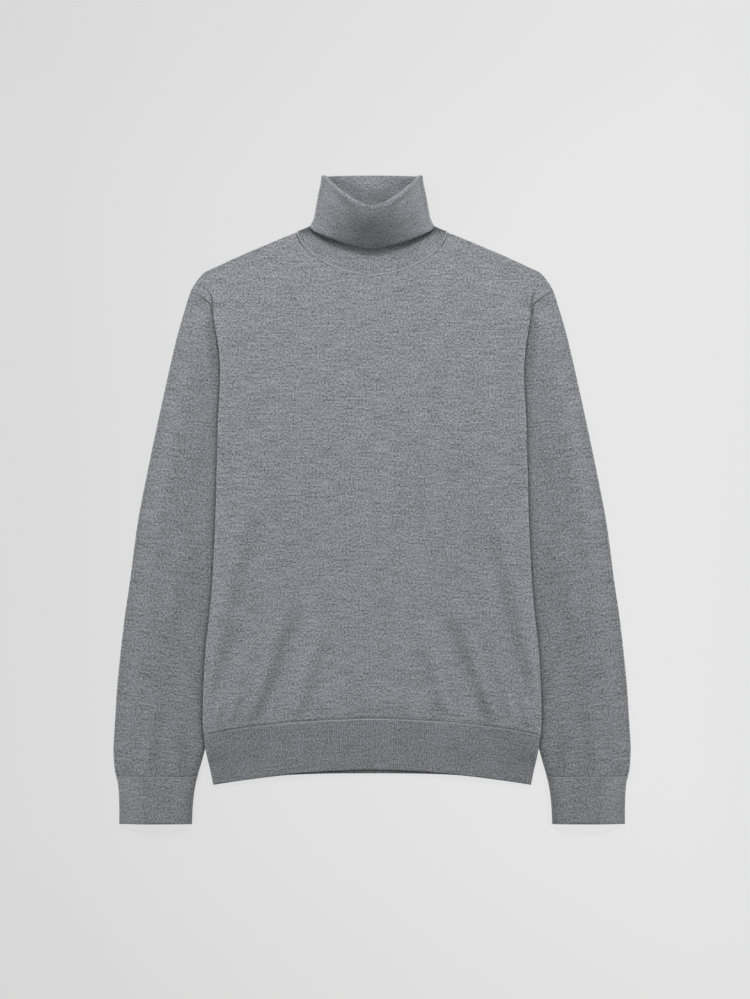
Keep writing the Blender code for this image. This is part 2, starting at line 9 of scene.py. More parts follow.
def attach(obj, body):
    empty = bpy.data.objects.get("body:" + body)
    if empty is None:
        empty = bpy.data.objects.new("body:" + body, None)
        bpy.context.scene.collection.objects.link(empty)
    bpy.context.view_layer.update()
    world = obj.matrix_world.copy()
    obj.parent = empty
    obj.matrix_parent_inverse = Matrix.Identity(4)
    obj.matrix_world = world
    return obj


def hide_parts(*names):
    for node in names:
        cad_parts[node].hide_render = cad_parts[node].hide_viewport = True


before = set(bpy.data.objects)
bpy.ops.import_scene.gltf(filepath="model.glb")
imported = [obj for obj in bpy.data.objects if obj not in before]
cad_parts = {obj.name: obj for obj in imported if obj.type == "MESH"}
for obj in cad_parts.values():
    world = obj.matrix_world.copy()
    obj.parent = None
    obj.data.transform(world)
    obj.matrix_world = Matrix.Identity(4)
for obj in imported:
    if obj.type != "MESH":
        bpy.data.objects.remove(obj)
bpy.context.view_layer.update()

# Turtleneck sweater laid flat: each knitted piece is a fine sheet with its own wall, seams and
# rib ridges. Lengths are in metres, +Y runs up to the neck and z = 0 is the surface below.

knit = {
    "wall": 0.0014,             # thickness of the cloth
    "seamGap": 0.0003,
    "lieGap": 0.0006,           # body above the sleeve that it lies on
    "foldGap": 0.0008,          # inside a pressed fold
    "walePitch": 0.0014,
    "coursePitch": 0.0010,
    "ribPitch": 0.0028,
    "ribEnd": 0.3,              # share of its height that a rib has at both ends of its piece
}
wall = knit["wall"]
topLayer = wall * 1.5           # middle of a layer that lies straight on another
seamGap = knit["seamGap"]
foldRadius = (wall + knit["foldGap"]) / 2
foldOuter = foldRadius + wall / 2
sleeveThick = 2 * foldOuter
arcSteps = 8                    # faces round a pressed fold
ribColumns = 4                  # columns of faces to a rib
slopeStep = 0.001               # over which an edge's slope is taken

Edge = namedtuple("Edge", "y x")


def blend(a, b, t):
    return a + (b - a) * t


def ease(t):
    t = min(max(t, 0.0), 1.0)
    return t * t * (3 - 2 * t)


def unit(v):
    size = math.sqrt(sum(c * c for c in v))
    return tuple(c / size for c in v)


def curveBetween(a, slopeA, b, slopeB, t):
    # Smooth curve from a to b, with its slope at both ends.
    return ((2 * t ** 3 - 3 * t ** 2 + 1) * a + (t ** 3 - 2 * t ** 2 + t) * slopeA
            + (3 * t ** 2 - 2 * t ** 3) * b + (t ** 3 - t ** 2) * slopeB)


def follow(edge, y):
    # x of an edge at height y, on a smooth curve through its rows.
    rows = sorted(edge)
    y = min(max(y, rows[0].y), rows[-1].y)
    i = next(k for k in range(len(rows) - 1) if y <= rows[k + 1].y)

    def slope(k):
        before = rows[max(k - 1, 0)]
        after = rows[min(k + 1, len(rows) - 1)]
        return (after.x - before.x) / (after.y - before.y)

    span = rows[i + 1].y - rows[i].y
    t = (y - rows[i].y) / span
    return curveBetween(rows[i].x, span * slope(i), rows[i + 1].x, span * slope(i + 1), t)


# The body: its visible side edge is a fold of the front, which goes on beneath it.
body = {
    "puff": 0.0012,             # front further off the back in the middle
    "puffReach": 0.060,
    "riseStart": 0.016,         # the back climbs onto a sleeve between these two
    "riseEnd": 0.004,
    "frontRiseStart": 0.080,    # the front bridges the step
    "frontRiseEnd": 0.012,
    "bridgeEnd": -0.3300,       # but low in the hem rib both layers climb together
    "bridgeFull": -0.3020,
    "bendY": 0.2356,            # the armhole seam goes under the fold here
    "bendX": 0.1960,
    "bendEase": 0.0080,         # below it the fold takes over from the seam
    "bendShare": 0.35,          # how steeply the seam leaves the fold, against a straight one
    "foldFull": 0.2050,         # from here down the side is turned right under
    "liftTop": 0.2560,          # the body climbs over the sleeve between these two
    "liftFull": 0.2130,
    "underarmY": 0.0910,
    "underarmRise": 0.030,      # the back climbs onto the sleeve over this length below it
    "underarmEase": 0.006,      # and starts this far below it
    "shoulderTipY": 0.2538,
    "edgeStrip": 0.008,         # edge columns' width where nothing is turned under
    "shortStrip": 0.0005,       # and where the fold begins
    "uneven": 0.00045,          # how far the cloth wanders up and down
    "rollRise": 0.0009,         # beside a fold it is this much fuller
    "rollReach": 0.0070,
    "settleReach": 0.0100,      # creases run out over this much before the edge
    "seamDip": 0.00005,         # how far it is drawn down beside a seam
    "armholeDip": 0.00035,
    "seamReach": 0.0030,
    "neckColumns": 32,
    "sideColumns": 66,
    "edgeCrowding": 1.5,        # columns closer together towards the sides
    "edgeColumns": 10,
    "lowRows": 90,
    "armholeRows": 40,
    "yokeRows": 40,
    "bowPower": 4,              # yoke rows bend to the armhole mostly near their ends
    "hemCalm": 5,               # rows over which the cloth lies calm beside the hem's seam
    "topCalm": 8,               # and beside the neck and the shoulders
    "creaseStart": 4,           # creases set in over this many
    "tuckStart": 5,             # and the tuck, above the bend
    "rollEnd": 0.625,           # share of the yoke up which the fullness runs out
    "backNeckLimit": 0.75,      # back's neck columns, at most this share of the way to its climb
    "backNeckColumns": 18,
    "backPlainColumns": 8,
    "backRiseColumns": 9,
    "backEndColumns": 3,
}
sideFold = (
    Edge(-0.3500, 0.1946), Edge(-0.3200, 0.2009), Edge(-0.3020, 0.2047), Edge(-0.2700, 0.2073),
    Edge(-0.1970, 0.2046), Edge(-0.1240, 0.1972), Edge(-0.0500, 0.1927), Edge(0.0235, 0.1905),
    Edge(0.0970, 0.1885), Edge(0.1520, 0.1860), Edge(0.1800, 0.1874), Edge(0.2080, 0.1916),
    Edge(0.2356, 0.1960),
)
sideSeam = (
    Edge(-0.3500, 0.1800), Edge(-0.2900, 0.1915), Edge(-0.2700, 0.1918), Edge(-0.2500, 0.1908),
    Edge(-0.1850, 0.1835), Edge(-0.1230, 0.1720), Edge(-0.0620, 0.1580), Edge(0.0000, 0.1400),
    Edge(0.0300, 0.1235), Edge(0.0640, 0.1184), Edge(0.0910, 0.1184),
)
armhole = (
    Edge(0.0910, 0.1200), Edge(0.1150, 0.1330), Edge(0.1450, 0.1500), Edge(0.1750, 0.1655),
    Edge(0.2050, 0.1800), Edge(0.2130, 0.1836), Edge(0.2200, 0.1870), Edge(0.2280, 0.1914),
    Edge(0.2356, 0.1960), Edge(0.2538, 0.2227),
)


def armholeX(y, side):
    # x of the armhole seam; side is -1 on the body's edge and 1 on the sleeve's.
    if y > body["bendY"]:
        width = armhole[-1].x - body["bendX"]
        height = body["shoulderTipY"] - body["bendY"]
        t = min((y - body["bendY"]) / height, 1.0)
        x = body["bendX"] + width * blend(t * t, t, body["bendShare"])
        slope = width / height * blend(2 * t, 1.0, body["bendShare"])
    else:
        x = follow(armhole[:-1], y)
        slope = (x - follow(armhole[:-1], y - slopeStep)) / slopeStep
    return x + side * seamGap / 2 * math.hypot(1, slope)


def sleeveInnerX(y):
    return armholeX(y, -1) if y > body["underarmY"] else follow(sleeveInner, y)


def climb(x, y, start, end):
    across = ease((abs(x) - sleeveInnerX(y) + start) / (start - end))
    along = ease((body["liftTop"] - y) / (body["liftTop"] - body["liftFull"]))
    return (sleeveThick + knit["lieGap"]) * across * along


def lift(x, y):
    return climb(x, y, body["riseStart"], body["riseEnd"])


def frontLift(x, y):
    bridge = ease((y - body["bridgeEnd"]) / (body["bridgeFull"] - body["bridgeEnd"]))
    return blend(lift(x, y), climb(x, y, body["frontRiseStart"], body["frontRiseEnd"]), bridge)


# Soft troughs that run up and inwards from the hem.
Trough = namedtuple("Trough", "lowX lowY highX highY depth halfWidth")
troughs = (
    Trough(0.1800, -0.2100, 0.1349, -0.0255, 0.0011, 0.017),
    Trough(0.1349, -0.2560, 0.0822, -0.1357, 0.0010, 0.016),
    Trough(0.0980, -0.2600, 0.0700, -0.1500, 0.0007, 0.015),
)

# Soft ridges, and with a height below 0 soft troughs, on the front and on the sleeves.
Crease = namedtuple("Crease", "lowX lowY highX highY height halfWidth")
frontCreases = (
    Crease(0.1936, -0.2032, 0.1495, 0.0051, 0.0034, 0.013),
    Crease(0.1629, -0.1848, 0.1176, -0.0010, -0.0010, 0.016),
    Crease(0.1410, -0.2485, 0.0957, -0.1113, 0.0040, 0.011),
    Crease(0.1127, -0.2460, 0.0784, -0.1358, -0.0009, 0.010),
    Crease(0.0880, -0.2485, 0.0570, -0.1382, 0.0036, 0.010),
    Crease(0.1911, -0.2730, 0.1838, -0.2399, 0.0014, 0.005),
    Crease(0.1715, -0.2657, 0.1642, -0.2338, 0.0016, 0.005),
    Crease(0.1225, -0.2644, 0.1139, -0.2338, 0.0008, 0.004),
    Crease(0.0650, -0.2630, 0.0610, -0.2380, 0.0009, 0.005),
    Crease(0.0440, -0.2620, 0.0420, -0.2230, 0.0014, 0.006),
    Crease(0.0090, -0.2610, 0.0080, -0.2360, 0.0008, 0.005),
)


creasing = {
    "troughIn": 4.0,            # how fast a trough sets in before its low end
    "troughOut": 1.25,          # share of its length at which it has run out
    "creaseIn": 5.0,
    "creaseOut": 1.15,
    "outRate": 2.0,
    "narrow": 0.8,              # a crease's width at its low end, against its own
    "widening": 0.5,            # and how much wider it gets up to its high end
}


def onLine(line, x, y):
    # Share of the way along a crease's line, and how far off it.
    runX = line.highX - line.lowX
    runY = line.highY - line.lowY
    length = math.hypot(runX, runY)
    along = ((abs(x) - line.lowX) * runX + (y - line.lowY) * runY) / length ** 2
    off = ((abs(x) - line.lowX) * runY - (y - line.lowY) * runX) / length
    return along, off


def faded(along, rateIn, end):
    return ease(along * rateIn + 1) * ease((end - along) * creasing["outRate"])


def troughDepth(x, y):
    depth = 0.0
    for trough in troughs:
        along, off = onLine(trough, x, y)
        fade = faded(along, creasing["troughIn"], creasing["troughOut"])
        depth += trough.depth * fade * math.exp(-(off / trough.halfWidth) ** 2)
    return depth


def creased(creases, x, y):
    # Height of the creases at a place, which thin out towards both ends.
    height = 0.0
    for crease in creases:
        along, off = onLine(crease, x, y)
        wider = creasing["widening"] * min(max(along, 0.0), 1.0)
        width = crease.halfWidth * (creasing["narrow"] + wider)
        fade = faded(along, creasing["creaseIn"], creasing["creaseOut"])
        height += crease.height * fade * math.exp(-(off / width) ** 2)
    return height


tuck = {                        # the side fold's beginning, above the sleeve's bend
    "topY": 0.2590,
    "startX": 0.1949,
    "sweep": 0.0098,            # outwards, up to its top
    "sweepPower": 3,
    "depth": 0.0028,
    "halfWidth": 0.0011,
    "rise": 0.0014,             # inside the line, fading over this much
    "inside": 0.0080,
    "drop": 0.0008,             # and outside it
    "outside": 0.0045,
}


def tucked(x, y):
    # Height about the line on which the side fold begins: a groove, fuller inside it than outside.
    up = (y - body["bendY"]) / (tuck["topY"] - body["bendY"])
    if up > 1.0:
        return 0.0
    up = max(up, 0.0)
    inside = tuck["startX"] + tuck["sweep"] * up ** tuck["sweepPower"] - abs(x)
    if inside < 0.0:
        height = -tuck["drop"] * math.exp(inside / tuck["outside"])
    else:
        height = tuck["rise"] * math.exp(-inside / tuck["inside"])
    return (height - tuck["depth"] * math.exp(-(inside / tuck["halfWidth"]) ** 2)) * (1 - up ** 2)


def frontGap(x, y, foldX):
    puffed = body["puff"] * ease((foldX - abs(x)) / body["puffReach"])
    return knit["foldGap"] + puffed - troughDepth(x, y)


# Hem rib: its seam and both its lower edges rise towards the middle.
hem = {
    "sideTop": -0.2901,
    "sideEnd": -0.3496,
    "seamDrop": 0.0218,
    "seamPower": 1.7,
    "cornerShare": 0.2,
    "cornerPower": 8.0,
    "half": 0.2064,
    "frontDrop": 0.0181,
    "frontPower": 1.75,
    "backDrop": 0.0138,
    "backPower": 3.0,
    "endHalf": 0.1936,
    "around": 0.8188,           # for the count of its ribs
    "ribHeight": 0.00006,
    "rows": 32,
}


def hemSeamRise(x):
    q = min(abs(x) / hem["half"], 1.0)
    drop = blend(q ** hem["seamPower"], q ** hem["cornerPower"], hem["cornerShare"])
    return hem["seamDrop"] * (1 - drop)


uneven = {                      # waves to a metre, across and along
    "broad": (11, 8),
    "small": (32, 24),
    "smallShare": 0.25,
    "smallSeed": 7.3,
    "frontSeed": 1.7,
    "sleeveSeed": 5.1,
}


def wander(x, y, seed):
    # Slow unevenness of laid cloth, between -1 and 1.
    broad = noise.noise(Vector((x * uneven["broad"][0], y * uneven["broad"][1], seed)))
    place = Vector((x * uneven["small"][0], y * uneven["small"][1], seed + uneven["smallSeed"]))
    return blend(broad, noise.noise(place), uneven["smallShare"])


def mirrored(half):
    other = [(-x, y, z) for x, y, z in half]
    return other[:0:-1] + half


# Neckline and shoulders of both panels.
shoulder = (
    Edge(0.3266, 0.0925), Edge(0.3174, 0.1153), Edge(0.2978, 0.1615), Edge(0.2782, 0.2043),
)
shoulderTip = (0.2146, 0.2700)
neck = {
    "half": 0.0925,
    "pointY": 0.3266,
    "frontY": 0.2739,
    "backY": 0.3120,
    "round": 1.7,
    "backPower": 2.4,
    "share": 0.46,              # of a panel's top edge
    "tipShare": 0.93,
    "gap": 0.0010,              # front above the back at the neck point
    "gapRate": 3,               # how fast it closes along the shoulder
    "lift": 0.0018,             # front further up in its middle
    "risePower": 2.6,
}


def frontNeckShape(q):
    return 1 - (1 - min(q, 1.0) ** neck["round"]) ** (1 / neck["round"])


def backNeckShape(q):
    return min(q, 1.0) ** neck["backPower"]


def frontShare(i):
    if i <= body["neckColumns"]:
        return neck["share"] * math.sin(math.pi / 2 * i / body["neckColumns"])
    left = 1 - (i - body["neckColumns"]) / body["sideColumns"]
    return 1 - (1 - neck["share"]) * left ** body["edgeCrowding"]


def sideRows():
    start = hem["sideTop"] + seamGap / 2
    bend = body["bendY"]
    low = [blend(start, body["underarmY"], i / body["lowRows"]) for i in range(body["lowRows"])]
    count = body["armholeRows"]
    high = [blend(body["underarmY"], bend, math.sin(math.pi / 2 * i / count)) for i in range(count + 1)]
    return [(y, (y - start) / (bend - start)) for y in low + high]


def hemShare(t):
    # Share of the hem seam's rise that a row keeps, t of the way up to the bend.
    return (1 - t) ** 2


def underEdgeX(y):
    if y > body["underarmY"]:
        return armholeX(y, 1)
    return follow(sideSeam, y) + seamGap / 2


def frontHalf(sideY, fade):
    # Half a row of the front, from the middle over the side fold to its cut edge below.
    foldX = follow(sideFold, sideY)
    centreX = foldX - foldOuter
    turn = math.pi * ease((body["bendY"] - sideY) / (body["bendY"] - body["foldFull"]))
    seamX = armholeX(body["bendY"], -1)
    flatEnd = blend(seamX, centreX, ease((body["bendY"] - sideY) / body["bendEase"]))
    columns = body["neckColumns"] + body["sideColumns"]
    row = []
    for i in range(columns + 1):
        x = (flatEnd if turn > 0.0 else flatEnd - body["edgeStrip"]) * frontShare(i)
        y = sideY + hemSeamRise(x) * fade
        row.append((x, y, frontLift(x, y) + topLayer + frontGap(x, y, foldX)))
    if turn == 0.0:
        steps = arcSteps + body["edgeColumns"]
        for i in range(1, steps + 1):
            row.append((flatEnd - body["edgeStrip"] * (1 - i / steps), row[-1][1], row[-1][2]))
        return row
    foldY = row[-1][1]
    centreZ = row[-1][2] - foldRadius
    for i in range(1, arcSteps + 1):
        angle = turn * i / arcSteps
        x = flatEnd + foldRadius * math.sin(angle)
        row.append((x, foldY, centreZ + foldRadius * math.cos(angle)))
    turnedX, _, turnedZ = row[-1]
    for i in range(1, body["edgeColumns"] + 1):
        if turn == math.pi:
            x = blend(turnedX, underEdgeX(sideY), i / body["edgeColumns"])
            y = sideY + hemSeamRise(x) * fade
            row.append((x, y, lift(x, y) + wall / 2))
        else:
            reach = body["shortStrip"] * i / body["edgeColumns"]
            row.append((turnedX + reach * math.cos(turn), foldY, turnedZ - reach * math.sin(turn)))
    return row


def topEdge(share, share0, neckY, neckShape):
    if share <= share0:
        q = share / share0
        return neck["half"] * q, blend(neckY, neck["pointY"], neckShape(q))
    if share <= neck["tipShare"]:
        t = (share - share0) / (neck["tipShare"] - share0)
        y = blend(neck["pointY"], shoulder[-1].y, t)
        return follow(shoulder, y), y
    t = (share - neck["tipShare"]) / (1 - neck["tipShare"])
    tipX, tipY = shoulderTip
    endX = armholeX(body["shoulderTipY"], -1)
    x = (1 - t) ** 2 * shoulder[-1].x + 2 * t * (1 - t) * tipX + t ** 2 * endX
    y = (1 - t) ** 2 * shoulder[-1].y + 2 * t * (1 - t) * tipY + t ** 2 * body["shoulderTipY"]
    return x, y


def yokeRows(base, neckColumns, neckY, neckShape, topHeight):
    rows = []
    width = base[-1][0]
    share0 = base[neckColumns][0] / width
    endX, endY = topEdge(1.0, share0, neckY, neckShape)
    for r in range(1, body["yokeRows"] + 1):
        t = r / body["yokeRows"]
        bow = armholeX(blend(base[-1][1], endY, t), -1) - blend(width, endX, t)
        row = []
        for x0, y0, z0 in base:
            x1, y1 = topEdge(x0 / width, share0, neckY, neckShape)
            z = blend(z0, topHeight(x0 / width, share0), ease(t))
            x = blend(x0, x1, t) + bow * (x0 / width) ** body["bowPower"]
            row.append((x, blend(y0, y1, t), z))
        rows.append(row)
    return rows


def frontTopHeight(share, share0):
    onBack = topLayer + seamGap
    if share <= share0:
        return topLayer + neck["gap"] + neck["lift"] * (1 - (share / share0) ** neck["risePower"])
    if share <= neck["tipShare"]:
        t = (share - share0) / (neck["tipShare"] - share0)
        return blend(topLayer + neck["gap"], onBack, ease(t * neck["gapRate"]))
    tip = ease((share - neck["tipShare"]) / (1 - neck["tipShare"]))
    return blend(onBack, topLayer + knit["foldGap"], tip)


def backTopHeight(share, share0):
    return wall / 2


def fromEdge(grid, axis, last):
    # Distance of each point from an edge of the grid, along its row or column.
    steps = np.linalg.norm(np.diff(grid, axis=axis), axis=2)
    start = np.zeros_like(grid[:1, :, 0] if axis == 0 else grid[:, :1, 0])
    if last:
        steps = np.flip(steps, axis)
    along = np.concatenate([start, np.cumsum(steps, axis=axis)], axis=axis)
    return np.flip(along, axis) if last else along


def drawnDown(distance, dip):
    # How far the cloth is drawn down at this distance from a seam.
    t = np.clip(distance / body["seamReach"], 0.0, 1.0)
    return dip * (1 - t * t * (3 - 2 * t))


def frontPanelGrid():
    halves = [frontHalf(sideY, hemShare(t)) for sideY, t in sideRows()]
    halves += yokeRows(halves[-1], body["neckColumns"], neck["frontY"], frontNeckShape, frontTopHeight)
    grid = np.array([mirrored(half) for half in halves])
    courses = [y for y, t in sideRows()]
    flatColumns = body["neckColumns"] + body["sideColumns"]
    middle = grid.shape[1] // 2
    seamRow = len(courses) - 1
    for r in range(grid.shape[0]):
        # Above the bend nothing is turned under, so the row is flat to its cut edge.
        reach = middle if r >= seamRow else flatColumns
        edgeX = grid[r, middle + reach, 0]
        fromHem = ease(r / body["hemCalm"])
        fromTop = ease((grid.shape[0] - 1 - r) / body["topCalm"])
        upYoke = max(0, r - seamRow) / body["yokeRows"]
        for c in range(middle - reach, middle + reach + 1):
            x, y, z = grid[r, c]
            inward = ease((edgeX - abs(x)) / body["settleReach"])
            z += body["uneven"] * wander(x, y, uneven["frontSeed"]) * inward * fromHem * fromTop
            z += creased(frontCreases, x, y) * inward * fromTop * ease(r / body["creaseStart"])
            rolled = ease((edgeX - abs(x)) / body["rollReach"]) * (1 - ease(upYoke / body["rollEnd"]))
            z += body["rollRise"] * rolled * fromHem
            if r > seamRow:
                raised = z + tucked(x, y) * fromTop * ease((r - seamRow) / body["tuckStart"])
                z = max(raised, min(z, topLayer + seamGap))
            grid[r, c, 2] = z
    flat = slice(middle - flatColumns, middle + flatColumns + 1)
    nearest = np.minimum(fromEdge(grid, 0, False), fromEdge(grid, 0, True))
    grid[:, flat, 2] -= drawnDown(nearest, body["seamDip"])[:, flat]
    yoke = grid[seamRow:]
    sides = np.minimum(fromEdge(yoke, 1, False), fromEdge(yoke, 1, True))
    yoke[:, :, 2] -= drawnDown(sides, body["armholeDip"])
    uv = clothUv(grid, courses + list(grid[seamRow + 1:, middle, 1]))
    for r in range(seamRow + 1, grid.shape[0]):
        uv[r, :, 0] = grid[r, :, 0]
        uv[r, :, 1] = grid[r, :, 1]
    return grid, uv


def backColumns(endX, y):
    start = min(sleeveInnerX(y) - body["riseStart"], endX - body["riseStart"])
    full = min(sleeveInnerX(y) - body["riseEnd"], endX - body["riseEnd"] / 2)
    neckX = min(neck["share"] * endX, body["backNeckLimit"] * start)
    places = [0.0]
    for end, count in ((neckX, body["backNeckColumns"]), (start, body["backPlainColumns"]),
                       (full, body["backRiseColumns"]), (endX, body["backEndColumns"])):
        last = places[-1]
        places += [blend(last, end, i / count) for i in range(1, count + 1)]
    return places


def backHeight(x, y):
    risen = ease((body["underarmY"] - body["underarmEase"] - y) / body["underarmRise"])
    return lift(x, y) * risen + wall / 2


def backPanelGrid():
    halves = []
    for sideY, t in sideRows():
        if sideY > body["underarmY"]:
            endX = armholeX(sideY, -1)
        else:
            endX = follow(sideSeam, sideY) - seamGap / 2
        half = []
        for x in backColumns(endX, sideY):
            y = sideY + hemSeamRise(x) * hemShare(t)
            half.append((x, y, backHeight(x, y)))
        halves.append(half)
    halves += yokeRows(halves[-1], body["backNeckColumns"], neck["backY"], backNeckShape, backTopHeight)
    grid = np.array([mirrored(half) for half in halves])
    return grid, grid[:, :, :2].copy()


def clothUv(grid, courses):
    # Metres along each row from its middle, and the course that the row follows.
    steps = np.linalg.norm(np.diff(grid, axis=1), axis=2)
    along = np.concatenate([np.zeros((grid.shape[0], 1)), np.cumsum(steps, axis=1)], axis=1)
    along -= along[:, grid.shape[1] // 2][:, None]
    return np.stack([along, np.repeat(np.array(courses)[:, None], grid.shape[1], 1)], axis=2)


def foldArc(upperEnd, lowerEnd):
    # Points round a fold between the last points of an upper and a lower layer.
    besideUpper, upper = upperEnd
    besideLower, lower = lowerEnd
    radius = (upper[2] - lower[2]) / 2
    over = unit((upper[0] - besideUpper[0], upper[1] - besideUpper[1], 0.0))
    under = unit((lower[0] - besideLower[0], lower[1] - besideLower[1], 0.0))
    away = unit((over[0] + under[0], over[1] + under[1], 0.0))
    points = []
    for i in range(1, arcSteps):
        share = i / arcSteps
        angle = math.pi * share
        x = blend(upper[0], lower[0], share) + away[0] * radius * math.sin(angle)
        y = blend(upper[1], lower[1], share) + away[1] * radius * math.sin(angle)
        points.append((x, y, (upper[2] + lower[2]) / 2 + radius * math.cos(angle)))
    return points


def evenRing(points, count):
    # The same closed ring with points evenly far apart, from its first point.
    ring = np.array(list(points) + [points[0]])
    along = np.concatenate([[0.0], np.cumsum(np.linalg.norm(np.diff(ring, axis=0), axis=1))])
    wanted = np.linspace(0.0, along[-1], count, endpoint=False)
    return np.stack([np.interp(wanted, along, ring[:, k]) for k in range(3)], axis=1)


def ringUv(grid, around):
    # Metres round the tube, the same for every ring, and metres along it.
    rings, count = grid.shape[:2]
    steps = np.linalg.norm(np.diff(grid, axis=0), axis=2).mean(axis=1)
    along = np.concatenate([[0.0], np.cumsum(steps)])
    share = np.arange(count + 1) / count * around
    return np.stack([np.tile(share, (rings, 1)), np.tile(along[:, None], (1, count + 1))], axis=2)


def normals(grid):
    # Unit normals of a closed tube, at each of its points.
    across = np.roll(grid, -1, axis=1) - np.roll(grid, 1, axis=1)
    along = np.gradient(grid, axis=0)
    n = np.cross(across, along)
    return n / np.maximum(np.linalg.norm(n, axis=2, keepdims=True), 1e-12)


def ribWave(count):
    return np.cos(np.arange(count) * 2 * math.pi / ribColumns)


def ribbed(grid, height):
    # Ridges along the tube.
    phase = ribWave(grid.shape[1])
    fade = np.ones(grid.shape[0])
    fade[0] = fade[-1] = knit["ribEnd"]
    grid = grid + normals(grid) * (height * phase[None, :] * fade[:, None])[:, :, None]
    grid[:, :, 2] = np.maximum(grid[:, :, 2], wall / 2)
    return grid


def hemEndY(x, drop, power):
    return hem["sideEnd"] + drop * (1 - min(abs(x) / hem["endHalf"], 1.0) ** power)


def hemGrid():
    rings = []
    count = ribColumns * round(hem["around"] / knit["ribPitch"])
    columns = body["neckColumns"] + body["sideColumns"]
    for r in range(hem["rows"] + 1):
        t = r / hem["rows"]
        sideY = blend(hem["sideTop"] - seamGap / 2, hem["sideEnd"], t)
        foldX = follow(sideFold, sideY)
        centreX = foldX - foldOuter

        def rowY(x, drop, power):
            startY = hem["sideTop"] - seamGap / 2 + hemSeamRise(x)
            return blend(startY, hemEndY(x, drop, power), t)

        front = []
        back = []
        for i in range(columns + 1):
            x = centreX * frontShare(i)
            y = rowY(x, hem["frontDrop"], hem["frontPower"])
            front.append((x, y, frontLift(x, y) + topLayer + frontGap(x, y, foldX)))
        for x in backColumns(centreX, sideY):
            y = rowY(x, hem["backDrop"], hem["backPower"])
            back.append((x, y, lift(x, y) + wall / 2))
        half = front + foldArc(front[-2:], back[-2:]) + back[::-1]
        whole = half[:-1] + [(-x, y, z) for x, y, z in half[:0:-1]]
        rings.append(evenRing(whole, count))
    grid = np.array(rings)
    return ribbed(grid, hem["ribHeight"]), ringUv(grid, count / ribColumns * knit["ribPitch"])


# Sleeves: pressed tubes, their inner margins beneath the body.
sleeve = {
    "crown": 0.0016,            # fuller beside the body
    "crownStart": 0.006,
    "crownFade": 0.045,
    "cuffSeam": -0.3398,
    "cuffEnd": -0.3976,
    "lean": math.radians(9.0),  # of its wales
    "uneven": 0.00035,
    "rollRise": 0.0062,         # fuller between its folds
    "rollReach": 0.030,
    "rollFade": 0.015,          # up to the end of the body's fold
    "besideStart": 0.0008,      # it lies low for this much beside the body's edge
    "besideReach": 0.0060,      # and rises over about this much
    "creaseIn": 8,              # how fast creases set in beside the body
    "creaseOut": 6,             # and run out before the outer fold
    "bowPower": 3,              # rings bend to the armhole mostly near it
    "marginRounds": 4,
    "across": 60,
    "rows": 160,
}
sleeveInner = (
    Edge(-0.3976, 0.2204), Edge(-0.3783, 0.2196), Edge(-0.3587, 0.2177), Edge(-0.3391, 0.2138),
    Edge(-0.3195, 0.2081), Edge(-0.3000, 0.2030), Edge(-0.2500, 0.1905), Edge(-0.1850, 0.1765),
    Edge(-0.1230, 0.1645), Edge(-0.0620, 0.1496), Edge(0.0000, 0.1330), Edge(0.0600, 0.1205),
    Edge(0.0910, 0.1200),
)
sleeveOuter = (
    Edge(-0.3976, 0.3097), Edge(-0.3690, 0.3099), Edge(-0.3490, 0.3112), Edge(-0.3391, 0.3134),
    Edge(-0.3293, 0.3155), Edge(-0.3050, 0.3167), Edge(-0.2705, 0.3148), Edge(-0.2215, 0.3115),
    Edge(-0.1480, 0.3034), Edge(-0.0990, 0.2963), Edge(-0.0255, 0.2864), Edge(0.0480, 0.2721),
    Edge(0.1215, 0.2565), Edge(0.1950, 0.2399), Edge(0.2195, 0.2331), Edge(0.2538, 0.2227),
)
sleeveCreases = (
    Crease(0.1920, 0.1460, 0.2096, 0.2340, 0.0022, 0.006),
    Crease(0.2480, -0.1500, 0.2300, -0.0300, 0.0018, 0.014),
    Crease(0.2750, -0.3200, 0.2620, -0.2300, 0.0018, 0.010),
    Crease(0.2380, -0.3250, 0.2420, -0.2500, 0.0015, 0.009),
)


def sleeveHeight(x, y):
    edge = follow(sideFold, min(y, body["bendY"])) if y > hem["sideEnd"] else sleeveInnerX(y)
    start = max(edge, sleeveInnerX(y)) + sleeve["crownStart"]
    end = follow(sleeveOuter, y) - foldOuter
    t = min(max((x - start) / (end - start), 0.0), 1.0)
    full = ease((body["bendY"] - y) / sleeve["crownFade"])
    bump = math.sin(math.pi * t) ** 2
    waves = sleeve["uneven"] * wander(x, y, uneven["sleeveSeed"]) * bump * full
    clear = ease(t * sleeve["creaseIn"]) * ease((1 - t) * sleeve["creaseOut"])
    waves += creased(sleeveCreases, x, y) * clear
    beyond = max(0.0, x - max(edge, sleeveInnerX(y)) - sleeve["besideStart"])
    beside = 1 - math.exp(-beyond / sleeve["besideReach"])
    fade = ease((body["bendY"] - y) / sleeve["rollFade"])
    rolled = sleeve["rollRise"] * ease((end - x) / sleeve["rollReach"]) * beside * fade
    return sleeveThick + sleeve["crown"] * full * bump + waves + rolled


